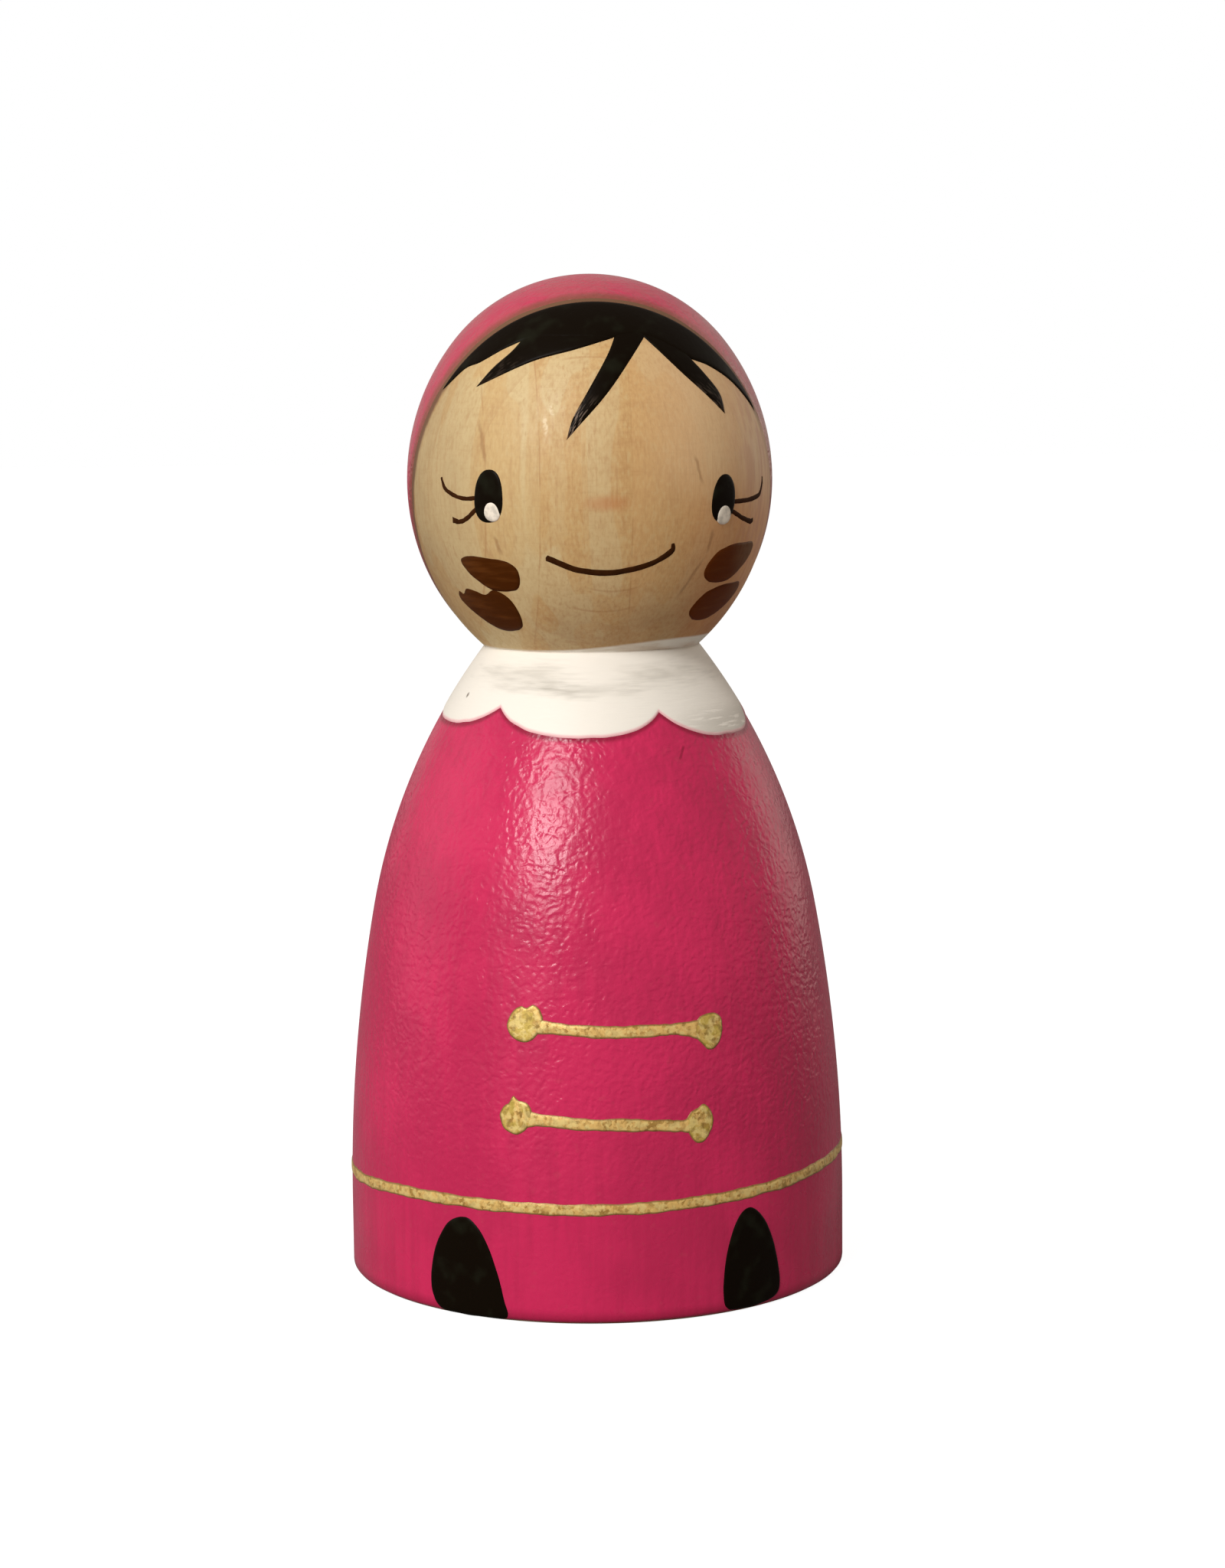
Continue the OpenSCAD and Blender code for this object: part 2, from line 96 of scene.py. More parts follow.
class DollSizes(bpy.types.PropertyGroup):
    """Sizes of the turned peg and of the paint on it."""

    base_diameter: length("Base", "Diameter of the base", (peg_high[0] - peg_low[0]) / MM)
    waist_diameter: length("Waist", "Diameter where the skirt flows into the chest", 35.6)
    neck_diameter: length("Neck", "Diameter at the neck crease", 17)
    head_diameter: length("Head", "Diameter of the head at its widest", 29)
    crown_height: length("Crown", "Height of the crown above the base", (peg_high[2] - peg_low[2]) / MM)
    neck_height: length("Crease", "Height of the neck crease above the base", 50.5)
    base_edge: length("Broken edge", "Radius of the broken edge of the base", 0.5)
    coat_film: length("Coat", "Thickness of the ground coats", 0.13)
    top_film: length("Top paint", "Thickness of lines and figures", 0.09)
    hood_front: length("Hood front", "How far the hood's edge stands in front of the axis", 2.72)
    hood_lean: angle("Hood lean", "Lean of the hood's edge", 17)
    hood_turn: angle("Hood turn", "Turn of the hood's edge, its right side forward", 3.5)
    hood_gap: length("Hood gap", "Bare wood left between hood and hair", 0.55)


class DollColours(bpy.types.PropertyGroup):
    """Colours of the wood and the paints, and of the light and shade painted on them."""

    wood_pale: colour("Pale wood", "The wood between its rings", (207, 183, 134))
    wood_mid: colour("Band wood", "The darker bands of the wood", (201, 165, 110))
    # Also painted warm bounce light: the wood turns warmer towards the right of the face
    wood_warm_and_bounce: colour("Warm wood", "Warmer wood of a strip, and painted warm bounce light on the right", (212, 162, 106))
    wood_line: colour("Grain", "Grain lines and streaks", (172, 122, 74))
    wood_stain: colour("Stain", "Stained wood beside the hood", (114, 79, 54))
    # Painted shade on the wood's left side, under the chin and low on the right cheek
    wood_painted_shade: colour("Painted shade", "Painted shade on the wood's left side, chin and low right cheek", (112, 62, 28))
    # Painted light on the head's upper right and along its right rim
    wood_painted_light: colour("Rim wood", "Painted light, paler, high on the right and along the head's right rim", (236, 198, 156))
    # Painted warm light on the right of the face
    wood_painted_warm_light: colour("Glowing wood", "Painted warm light, redder, on the right of the face", (236, 142, 82))
    wood_oval: colour("Oval", "Warm oval in the middle of the face", (188, 112, 60))
    wood_streak: colour("Streak", "Short dark streaks on the face", (140, 92, 52))
    # Painted highlight on the two drops of varnish
    varnish_drop_highlight: colour("Drop", "Painted highlight on two thick drops of varnish on the forehead", (240, 220, 178))
    rubbed_pink: colour("Rubbed pink", "Pink that rubbed off on the wood", (196, 130, 110))
    hood_faded: colour("Faded hood", "The hood's paint where it fades out on the right", (176, 126, 104))
    # Painted highlight on the hood, high on the right
    hood_painted_highlight: colour("Pale hood", "Painted highlight on the hood, high on the right", (226, 154, 156))
    pink: colour("Coat", "Pink paint of the coat and the hood", (207, 38, 88))
    pink_thin: colour("Thin coat", "Pink paint where it lies thin", (186, 78, 90))
    # Painted shadow under the collar's edge and painted shade at the base; also the coat's scratch
    pink_shade_and_scratch: colour("Coat rim", "Painted shade under the collar's edge and at the base, and the scratch", (128, 6, 42))
    white: colour("Collar", "White paint", (240, 233, 221))
    # Thin white paint, and also painted shade low on the collar's right
    white_thin_and_shade: colour("Thin and shaded white", "White paint left thin by the brush, and painted shade low on the right", (192, 185, 172))
    white_rim: colour("Collar rim", "White paint over the pink at the collar's rim", (236, 172, 176))
    speck: colour("Speck", "A dark speck on the collar", (84, 62, 48))
    glint: colour("Glint", "White dots in the eyes", (244, 231, 212))
    black: colour("Black", "Paint of hair, eyes and boots", (15, 8, 2))
    # Painted sheen: greenish patches on the black paint
    black_sheen: colour("Black sheen", "Painted greenish sheen on the black paint", (30, 31, 20))
    hair_dry: colour("Dry hair", "Black paint where the brush ran dry", (150, 128, 112))
    ink: colour("Ink", "Pen line of smile and lashes", (58, 29, 8))
    brown: colour("Cheek marks", "Dark brown paint", (70, 32, 3))
    brown_warm: colour("Warm brown", "Brown paint on the right cheek", (96, 42, 6))
    brown_edge: colour("Brown rim", "Brown paint gathered at its rim", (40, 18, 4))
    brown_thin: colour("Thin brown", "Brown paint where it lies thin", (116, 66, 26))
    brown_faded: colour("Faded brown", "Brown paint where it fades out", (122, 94, 68))
    gold: colour("Gold", "Gold paint", (238, 194, 114))
    gold_dark: colour("Gold shade", "Darker flakes of the gold paint", (174, 132, 62))
    gold_olive: colour("Gold knobs", "Greener gold of the knobs", (196, 172, 72))
    # Darker gold in mottles and towards the gold's rim
    gold_rim: colour("Gold rim", "Darker gold in mottles and towards its rim", (122, 90, 40))
    gold_light: colour("Gold flake", "Bright flakes of the gold paint", (240, 214, 138))


class DollStage(bpy.types.PropertyGroup):
    """Camera and lamps."""

    distance: length("Distance", "Distance of the camera from the axis", 255.4)
    height: length("Height", "Height of the camera", 70.8)
    turn: angle("Turn", "How far the camera stands left of the face", 6.8)
    dip: angle("Dip", "How far the camera looks down", 7.05)
    roll: angle("Roll", "Roll of the camera", -0.63)
    window_power: level("Window", "Power of the window light", 2.95, unit="POWER")
    left_fill_power: level("Left fill", "Power of the light from the left front", 0.135, unit="POWER")
    left_card_power: level("Left card", "Power of the light from the left", 0.3, unit="POWER")
    right_card_power: level("Right card", "Power of the light from the right", 0.4, unit="POWER")
    room_light: level("Room", "Strength of the light from all round", 0.36)
    room_gloss: level("Room gloss", "Strength of the room in reflections", 0.45)
    floor_tone: level("Floor", "How much light the floor throws back", 0.3, max=1)
    floor_glow: level("Floor white", "White that the lens sees on the floor besides", 0.93, max=1)


# The turned surface


class TurnedSurface:
    """The peg's outline: foot, skirt, chest, cheek, temple and crown, and places on it.

    Each stretch is a circle arc in the plane of radius and height. Skirt, chest, temple and crown leave
    the stretch before them in its own direction. The neck crease is where chest and cheek arcs cross.
    """

    FOOT_SHARE, WAIST_SHARE, WIDEST_SHARE, CROWN_SHARE = 0.11, 0.585, 0.45, 0.938

    def __init__(self, sizes):
        self.base, self.head = sizes.base_diameter / 2, sizes.head_diameter / 2
        waist, neck = sizes.waist_diameter / 2, sizes.neck_diameter / 2
        self.edge, self.neck_z, self.crown_z = sizes.base_edge, sizes.neck_height, sizes.crown_height
        self.foot_z = self.FOOT_SHARE * self.neck_z
        self.waist_z = self.WAIST_SHARE * self.neck_z
        self.widest_z = self.neck_z + self.WIDEST_SHARE * (self.crown_z - self.neck_z)
        rise, inset = self.waist_z - self.foot_z, self.base - waist
        skirt = (inset**2 + rise**2) / (2 * inset)
        lean = math.asin(rise / skirt)
        out = np.array([math.cos(lean), math.sin(lean)])
        chord = np.array([neck - waist, self.neck_z - self.waist_z])
        chest = -(chord @ chord) / (2 * chord @ out)
        lift = self.widest_z - self.neck_z
        cheek_x = (self.head**2 - neck**2 - lift**2) / (2 * (self.head - neck))
        crown = self.CROWN_SHARE * min(self.head, self.crown_z - self.widest_z)
        centre = self.crown_z - crown
        raised = centre - self.widest_z
        temple = (self.head**2 + raised**2 - crown**2) / (2 * (self.head - crown))
        temple_x = self.head - temple
        join = np.array([-temple_x, raised])
        join_z = centre + crown * join[1] / np.hypot(*join)
        waist_at = np.array([waist, self.waist_z])
        # Centre radius, centre height, arc radius and top of each stretch from the foot up
        self.body = [
            (self.base - self.edge, self.edge, self.edge, self.edge),
            (self.base - skirt, self.foot_z, skirt, self.waist_z),
            (*(waist_at - chest * out), chest, self.neck_z),
        ]
        self.upper = [
            (cheek_x, self.widest_z, self.head - cheek_x, self.widest_z),
            (temple_x, self.widest_z, temple, join_z),
            (0.0, centre, crown, self.crown_z),
        ]

    def section(self, z, head):
        """Radius and outward direction at heights z, of the head or of the body.

        On an arc the radius is its centre's plus the square root of (arc radius squared less height
        above the centre squared), and the direction runs from the arc's centre to the point.
        """
        z = np.asarray(z, float)
        arcs = self.upper if head else self.body
        radius = np.zeros_like(z)
        out_r, out_z = np.ones_like(z), np.zeros_like(z)
        floor = np.full_like(z, -1.0)
        for centre_r, centre_z, arc, top in arcs:
            here = (z > floor) if arcs[-1][3] == top else (z > floor) & (z <= top)
            rise = np.clip(z - centre_z, -arc, arc)
            run = np.sqrt(arc**2 - rise**2)
            radius = np.where(here, centre_r + run, radius)
            out_r = np.where(here, run / arc, out_r)
            out_z = np.where(here, rise / arc, out_z)
            floor = np.full_like(z, top)
        if not head:
            upright = (z > self.edge) & (z <= self.foot_z)
            radius = np.where(upright, self.base, radius)
            out_r = np.where(upright, 1.0, out_r)
            out_z = np.where(upright, 0.0, out_z)
        return np.maximum(radius, 0), out_r, out_z

    def place(self, azimuth, z, lift, head):
        """Points at an azimuth in degrees and a height, lifted square off the surface."""
        radius, out_r, out_z = self.section(z, head)
        turn = np.radians(azimuth)
        reach = radius + lift * out_r
        return np.stack([reach * np.sin(turn), -reach * np.cos(turn), z + lift * out_z], -1)

    def azimuth(self, x, z, head):
        """Azimuth in degrees of the point that is seen at x from the front, at heights z."""
        radius = self.section(z, head)[0]
        return np.degrees(np.arcsin(np.clip(x / radius, -1, 1)))


def arc_points(centre_r, centre_z, radius, z_from, z_to, count):
    """Points of a circle arc between two heights, evenly spaced in angle."""
    ends = [math.asin(min((z - centre_z) / radius, 1)) for z in (z_from, z_to)]
    turn = np.linspace(*ends, count)
    return np.stack([centre_r + radius * np.cos(turn), centre_z + radius * np.sin(turn)], -1)


# Curves


def cubic(a, b, c, d, t):
    """The cubic from b to c whose slope at each is half the step between its neighbours."""
    return (2 * b + (c - a) * t + (2 * a - 5 * b + 4 * c - d) * t**2 + (3 * b - a - 3 * c + d) * t**3) / 2


def smooth(points, count):
    """Open curve through the chosen points, each pair joined by a cubic."""
    points = np.asarray(points, float)
    ends = np.concatenate([[2 * points[0] - points[1]], points, [2 * points[-1] - points[-2]]])
    at = np.linspace(0, len(points) - 1 - 1e-9, count)
    i = at.astype(int)
    return cubic(ends[i], ends[i + 1], ends[i + 2], ends[i + 3], (at - i)[:, None])


def loop(points, count):
    """Closed curve through the chosen points, each pair joined by a cubic."""
    points = np.asarray(points, float)
    at = np.linspace(0, len(points), count, endpoint=False)
    i = at.astype(int)
    around = [points[(i + step) % len(points)] for step in (-1, 0, 1, 2)]
    return cubic(*around, (at - i)[:, None])


def wobble(count, amount, waves, seed, closed=False):
    """Unsteadiness of a hand: a sum of sines with seeded phases, at most about the amount."""
    rng = np.random.default_rng(seed)
    at = np.linspace(0, 1, count, endpoint=not closed)
    total = np.zeros(count)
    for k in range(1, 5):
        cycles = max(1, round(waves * k / 2)) if closed else waves * k / 2
        total += np.sin(2 * math.pi * (cycles * at + rng.random())) / k
    return amount * total / 2


def halve(inside, near, far, steps=44):
    """The largest numbers between near and far for which inside holds, by halving the way again and again."""
    for _ in range(steps):
        middle = (near + far) / 2
        held = inside(middle)
        near, far = np.where(held, middle, near), np.where(held, far, middle)
    return near


# Meshes

# How far in from its edge paint rises, and how far its inner skin lies under the surface that carries it
RIM = 0.1 * MM
UNDER = 0.03 * MM
# Thickness of each kind of paint as a share of the top paint's. A glint starts within its eye's paint
INK_SHARE, MARK_SHARE, GOLD_SHARE = 0.55, 0.8, 0.8
GLINT_BASE_SHARE, GLINT_SHARE = 0.4, 1.1
# Thickness of the first lock of hair as a share of the band's, and how much thinner each next one is, so
# that no two skins coincide
LOCK_SHARE, LOCK_STEP = 0.9, 0.06


def closed_piece(name, rings, node_names, material, marks=None, looped=False):
    """Closed mesh from rings of points, each ring closed on itself.

    With looped the last ring joins the first. Otherwise the first and the last ring are poles and
    become one point each. marks maps a name to one number for each ring point.
    """
    count, around = rings.shape[:2]
    column = np.arange(around)
    across = (column + 1) % around
    if looped:
        flat = [value.reshape(-1) for value in (marks or {}).values()]
        points, caps = rings.reshape(-1, 3), []
        low = np.arange(count)[:, None] * around
        high = np.roll(low, -1, axis=0)
    else:
        flat = [
            np.concatenate([value[1:-1].reshape(-1), [value[0].mean(), value[-1].mean()]])
            for value in (marks or {}).values()
        ]
        points = np.concatenate([rings[1:-1].reshape(-1, 3), [rings[0].mean(0), rings[-1].mean(0)]])
        low = np.arange(count - 3)[:, None] * around
        high = low + around
        top, first = (count - 3) * around, (count - 2) * around
        caps = np.stack([across, column, np.full(around, first)], -1).tolist()
        caps += np.stack([top + column, top + across, np.full(around, first + 1)], -1).tolist()
    quads = np.stack([low + column, low + across, high + across, high + column], -1)
    faces = quads.reshape(-1, 4).tolist() + caps
    a, b, c, d = (points[[face[corner] for face in faces]] for corner in (0, 1, 2, -1))
    if (a * (np.cross(b, c) + np.cross(c, d))).sum() < 0:
        faces = [face[::-1] for face in faces]
    mesh = bpy.data.meshes.new(name)
    mesh.from_pydata(points.tolist(), [], faces)
    mesh.polygons.foreach_set("use_smooth", np.ones(len(faces), bool))
    for key, value in zip(marks or {}, flat):
        mesh.attributes.new(key, "FLOAT", "POINT").data.foreach_set("value", value.astype(np.float32))
    mesh.materials.append(material)
    mesh.update()
    piece = bpy.data.objects.new(name, mesh)
    bpy.context.scene.collection.objects.link(piece)
    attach(piece, BODY)
    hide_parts(*node_names)
    return piece


def risen(distance, rim=RIM):
    """How far paint has risen at a distance in from its edge: 1 - exp(-distance / rim)."""
    return 1 - np.exp(-distance / rim)


def shell(surface, azimuth, z, lift, base, head, back, **marks):
    """Rings of a film of paint: an outer skin at a lift, then an inner skin just under the base, of the rows
    that back picks. Returns the rings and the marks of both skins."""
    outer = surface.place(azimuth, z, lift, head)
    inner = surface.place(azimuth[back], z[back], base - UNDER, head)
    both = {key: np.concatenate([value, value[back]]) for key, value in marks.items()}
    return np.concatenate([outer, inner]), both


def film(surface, edge_a, edge_b, base, thick, head, columns=16):
    """Rings of a film of paint between two edges, each a list of (azimuth, height).

    Across the film the outer skin rises from the surface below it, and the inner skin runs back just
    under that surface. Returns the rings and the marks: rim is the distance from the nearer edge in
    millimetres, reach runs from 0 to 1 along the film and across from 0 to 1 between its edges.
    """
    across = (1 - np.cos(np.linspace(0, math.pi, columns))) / 2
    azimuth = edge_a[:, 0, None] * (1 - across) + edge_b[:, 0, None] * across
    z = edge_a[:, 1, None] * (1 - across) + edge_b[:, 1, None] * across
    flat = surface.place(azimuth, z, 0, head)
    width = np.linalg.norm(flat[:, 0] - flat[:, -1], axis=-1)
    along = np.minimum(np.arange(len(width)), np.arange(len(width))[::-1])
    step = np.linalg.norm(np.diff(flat[:, columns // 2], axis=0), axis=-1).mean()
    side = width[:, None] * np.minimum(across, 1 - across)
    distance = np.minimum(side, (along * step)[:, None])
    outer = surface.place(azimuth, z, base + thick * risen(distance), head)
    inner = surface.place(azimuth, z, base - UNDER, head)[:, ::-1]
    marks = {
        "rim": distance / MM,
        "reach": np.repeat(np.linspace(0, 1, len(width))[:, None], columns, 1),
        "across": np.repeat(across[None], len(width), 0),
    }
    both = {key: np.concatenate([value, value[:, ::-1]], 1) for key, value in marks.items()}
    return np.concatenate([outer, inner], 1), both


def stroke_edges(surface, path, widths, head, count, unsteady=0.0, seed=0):
    """The two edges of a stroke along a path of (azimuth, height in mm), with a width in mm at each point.

    The path runs through smooth(); each edge lies half a width off it, square to it on the surface.
    """
    line = smooth(path, count)
    width = smooth(np.asarray(widths, float)[:, None], count)[:, 0]
    z = line[:, 1] * MM
    radius = surface.section(z, head)[0]
    per_degree = np.radians(1) * radius / MM
    run = np.gradient(np.stack([line[:, 0] * per_degree, line[:, 1]], -1), axis=0)
    run /= np.linalg.norm(run, axis=1, keepdims=True)
    square = np.stack([-run[:, 1], run[:, 0]], -1)
    edges = []
    for side, shift in ((1, 0), (-1, 1)):
        half = side * (width / 2 + wobble(count, unsteady, waves=9, seed=seed + shift))
        off = square * half[:, None]
        edges.append(np.stack([line[:, 0] + off[:, 0] / per_degree, (line[:, 1] + off[:, 1]) * MM], -1))
    return edges


def oval(azimuth, z, width, height, power, surface, slant=0.0, count=72):
    """Closed outline of an oval on the head: |x|^power + |y|^power = 1, its top pushed right by the slant
    and a tenth narrower."""
    turn = np.linspace(0, 2 * math.pi, count, endpoint=False)
    across = width / 2 * np.sign(np.cos(turn)) * np.abs(np.cos(turn)) ** (2 / power)
    tall = (z + height / 2 * np.sign(np.sin(turn)) * np.abs(np.sin(turn)) ** (2 / power)) * MM
    rise = tall / MM - z
    across = across * (1 - 0.2 * rise / height) + slant * rise
    per_degree = np.radians(1) * surface.section(tall, head=True)[0] / MM
    return np.stack([azimuth + across / per_degree, tall], -1)


def patch(surface, outline, base, thick, head, rows=16):
    """Rings of a patch of paint from its middle out to a closed outline of (azimuth, height).

    A ring is the outline drawn in towards its middle by a share that falls as a sine. Marks: rim is the
    distance from the rim in millimetres, reach runs from the outer side of the face inwards and across
    from bottom to top.
    """
    middle = (outline.min(0) + outline.max(0)) / 2
    share = np.sin(np.linspace(0, math.pi / 2, rows))[:, None, None]
    at = middle + (outline - middle) * share
    flat = surface.place(outline[:, 0], outline[:, 1], 0, head)
    spoke = np.linalg.norm(flat - surface.place(middle[0], middle[1], 0, head), axis=-1)
    distance = spoke * (1 - share[..., 0])
    part = (at - outline.min(0)) / (outline.max(0) - outline.min(0))
    reach = part[..., 0] if middle[0] < 0 else 1 - part[..., 0]
    return shell(
        surface, at[..., 0], at[..., 1], base + thick * risen(distance), base, head, slice(None, None, -3),
        rim=distance / MM, reach=reach, across=part[..., 1],
    )


def drawn(points, count=110, unsteady=0.0, seed=0):
    """Closed outline through points of (azimuth, height in mm), a little unsteady."""
    outline = loop(points, count)
    outline[:, 1] += wobble(count, unsteady, waves=9, seed=seed, closed=True)
    outline[:, 0] += wobble(count, unsteady, waves=9, seed=seed + 1, closed=True) * 3
    outline[:, 1] *= MM
    return outline


# Materials


class Flow:
    """A value on its way through a node tree. Arithmetic on it adds a Math node there."""

    def __init__(self, web, socket):
        self.web, self.socket = web, socket

    def _math(self, operation, a, b=0.0):
        return self.web.node("ShaderNodeMath", {"operation": operation}, {0: a, 1: b})

    def __add__(self, other):
        return self._math("ADD", self, other)

    __radd__ = __add__

    def __sub__(self, other):
        return self._math("SUBTRACT", self, other)

    def __rsub__(self, other):
        return self._math("SUBTRACT", other, self)

    def __mul__(self, other):
        return self._math("MULTIPLY", self, other)

    __rmul__ = __mul__

    def __truediv__(self, other):
        return self._math("DIVIDE", self, other)

    def __rtruediv__(self, other):
        return self._math("DIVIDE", other, self)

    def __pow__(self, other):
        return self._math("POWER", self, other)

    def __rpow__(self, other):
        return self._math("POWER", other, self)

    def __neg__(self):
        return -1.0 * self

    def __abs__(self):
        return self._math("ABSOLUTE", self)

    def sine(self):
        return self._math("SINE", self)

    def root(self):
        return self._math("SQRT", self)

    def fraction(self):
        return self._math("FRACT", self)

    def ramp(self, low, high, out_low=0.0, out_high=1.0):
        """Smooth step from out_low at low to out_high at high."""
        return self.web.node(
            "ShaderNodeMapRange",
            {"interpolation_type": "SMOOTHSTEP", "clamp": True},
            {"Value": self, "From Min": low, "From Max": high, "To Min": out_low, "To Max": out_high},
        )


class Web:
    """The nodes of a material or of the room, emptied to be built up."""

    def __init__(self, block):
        block.use_nodes = True
        self.tree = block.node_tree
        self.tree.nodes.clear()

    def feed(self, socket, value):
        """Links a value on its way to a socket, or sets the socket to a colour, a place or a number."""
        if isinstance(value, Flow):
            self.tree.links.new(value.socket, socket)
        elif socket.type == "RGBA":
            socket.default_value = (*tuple(value)[:3], 1)
        else:
            socket.default_value = value

    def node(self, kind, settings, sockets, output=0):
        """Adds a node: its settings first, then a value or a link for each socket. Returns one output."""
        made = self.tree.nodes.new(kind)
        for key, value in settings.items():
            setattr(made, key, value)
        for key, value in sockets.items():
            self.feed(made.inputs[key], value)
        return Flow(self, made.outputs[output])

    def mix(self, share, a, b):
        """Colour a where the share is 0 and b where it is 1."""
        return self.node("ShaderNodeMix", {"data_type": "RGBA"}, {0: share, 6: a, 7: b}, 2)

    def show(self, kind, shader):
        """Adds an output and puts the shader on its surface."""
        self.feed(self.tree.nodes.new(kind).inputs["Surface"], shader)


class Finish(Web):
    """A material under construction. Places are in millimetres, and tone is its colour so far."""

    def __init__(self, name, specular):
        self.material = bpy.data.materials.new(name)
        super().__init__(self.material)
        self.shader = self.tree.nodes.new("ShaderNodeBsdfPrincipled")
        self.show("ShaderNodeOutputMaterial", Flow(self, self.shader.outputs[0]))
        self.feed(self.shader.inputs["Specular IOR Level"], specular)
        at = self.node("ShaderNodeTexCoord", {}, {}, "Object")
        self.place = self.node("ShaderNodeVectorMath", {"operation": "SCALE"}, {0: at, "Scale": 1 / MM})
        self.x, self.y, self.z = (
            self.node("ShaderNodeSeparateXYZ", {}, {0: self.place}, axis) for axis in "XYZ"
        )
        self.tone = None

    def noise(self, scale, detail=2.0, place=None, distortion=0.0):
        """Cloudy noise from 0 to 1, scale in waves for each millimetre."""
        sockets = {"Vector": place or self.place, "Scale": scale, "Detail": detail, "Distortion": distortion}
        return self.node("ShaderNodeTexNoise", {}, sockets, "Fac")

    def stretched(self, flat, upright):
        """Places scaled by one share in both level directions and by another upright."""
        shares = (flat, flat, upright)
        return self.node("ShaderNodeVectorMath", {"operation": "MULTIPLY"}, {0: self.place, 1: shares})

    def streaks(self, flat, upright, detail=2.0, distortion=0.0):
        """Noise drawn out one way, with so many waves for each millimetre level and upright."""
        return self.noise(1.0, detail, self.stretched(flat, upright), distortion)

    def cells(self, scale, place=None, feature="F1", output="Distance"):
        """Distance or value of scattered cells, scale in cells for each millimetre."""
        sockets = {"Vector": place or self.place, "Scale": scale}
        return self.node("ShaderNodeTexVoronoi", {"feature": feature}, sockets, output)

    def mark(self, name):
        """A mark of the piece's own mesh."""
        return self.node("ShaderNodeAttribute", {"attribute_name": name}, {}, "Fac")

    def join(self, x, y, z):
        """A place from three numbers."""
        return self.node("ShaderNodeCombineXYZ", {}, {0: x, 1: y, 2: z})

    def spot(self, x_at, z_at, wide, tall):
        """Distance from a spot seen from the front: 1 on an oval of these half sizes round it."""
        return (((self.x - x_at) / wide) ** 2.0 + ((self.z - z_at) / tall) ** 2.0).root()

    def lay(self, paint, share):
        """Lays a paint over the tone so far, by a share."""
        self.tone = self.mix(share, self.tone, paint)

    def done(self, relief, depth, **sockets):
        """Gives the shader its tone, a relief of a depth in millimetres and the sockets named here."""
        bump = self.node("ShaderNodeBump", {}, {"Height": relief, "Distance": depth * MM, "Strength": 1.0})
        for name, value in {"base_color": self.tone, "normal": bump, **sockets}.items():
            self.feed(self.shader.inputs[name.replace("_", " ").title()], value)
        return self.material


def hood_distance(finish, sizes):
    """How far a place lies in front of the plane of the hood's edge, in millimetres."""
    head = sizes.crown_height - sizes.neck_height
    above = finish.z - (sizes.neck_height + TurnedSurface.WIDEST_SHARE * head) / MM
    behind = finish.y + finish.x * math.tan(sizes.hood_turn) + sizes.hood_front / MM
    return -(behind * math.cos(sizes.hood_lean) + above * math.sin(sizes.hood_lean))


def hood_fade(finish):
    """Where the hood's paint fades out, low on the right."""
    return finish.x.ramp(9.5, 12.5) * finish.z.ramp(71.5, 67)


# The wood's pith line, x and y, and the steps of its rings
PITH = (-3.0, 42.0)
RING_STEP, FINE_RING_STEP = 3.6, 0.8
# Upright strips in the middle of the face: where the paler one ends and the warmer one starts, and the
# thin lines on their sides
PALE_STRIP_END, WARM_STRIP_START = -5.4, 1.55
STRIP_LINES = (-9.35, -5.4, 1.56)
# Arcs where the turning cuts across the rings: x and z of the middle, half length, bend
FACE_ARCS = ((-1.4, 73.45, 2.4, -0.05), (-0.4, 54.0, 3.2, 0.06), (0.2, 55.6, 2.6, 0.08))
# Short streaks beside eyes and mouth: x and z of the middle, slope, half length
FACE_STREAKS = (
    (-8.5, 59.2, 0.38, 0.9), (6.9, 64.8, 0.28, 1.3), (8.0, 59.3, -0.24, 1.1),
    (6.4, 56.4, -0.69, 1.9), (-9.5, 67.0, 0.1, 2.0),
)
# Spots, each with x and z of its middle and its half sizes
WARM_OVAL = (-0.4, 62.4, 2.2, 0.75)
VARNISH_DROPS = ((-4.9, 68.3, 0.2, 0.75), (-4.35, 69.5, 0.2, 0.45))
WORN_SPOTS = ((-6.2, 48.7, 5.2, 1.2), (-1.2, 47.9, 4.0, 0.8), (5.5, 48.8, 4.4, 1.0))
# A speck on the collar, x, y and z, and a scratch on the coat, x and z
SPECK = (-10.35, -4.0, 46.95)
SCRATCH = (5.5, 43.0)


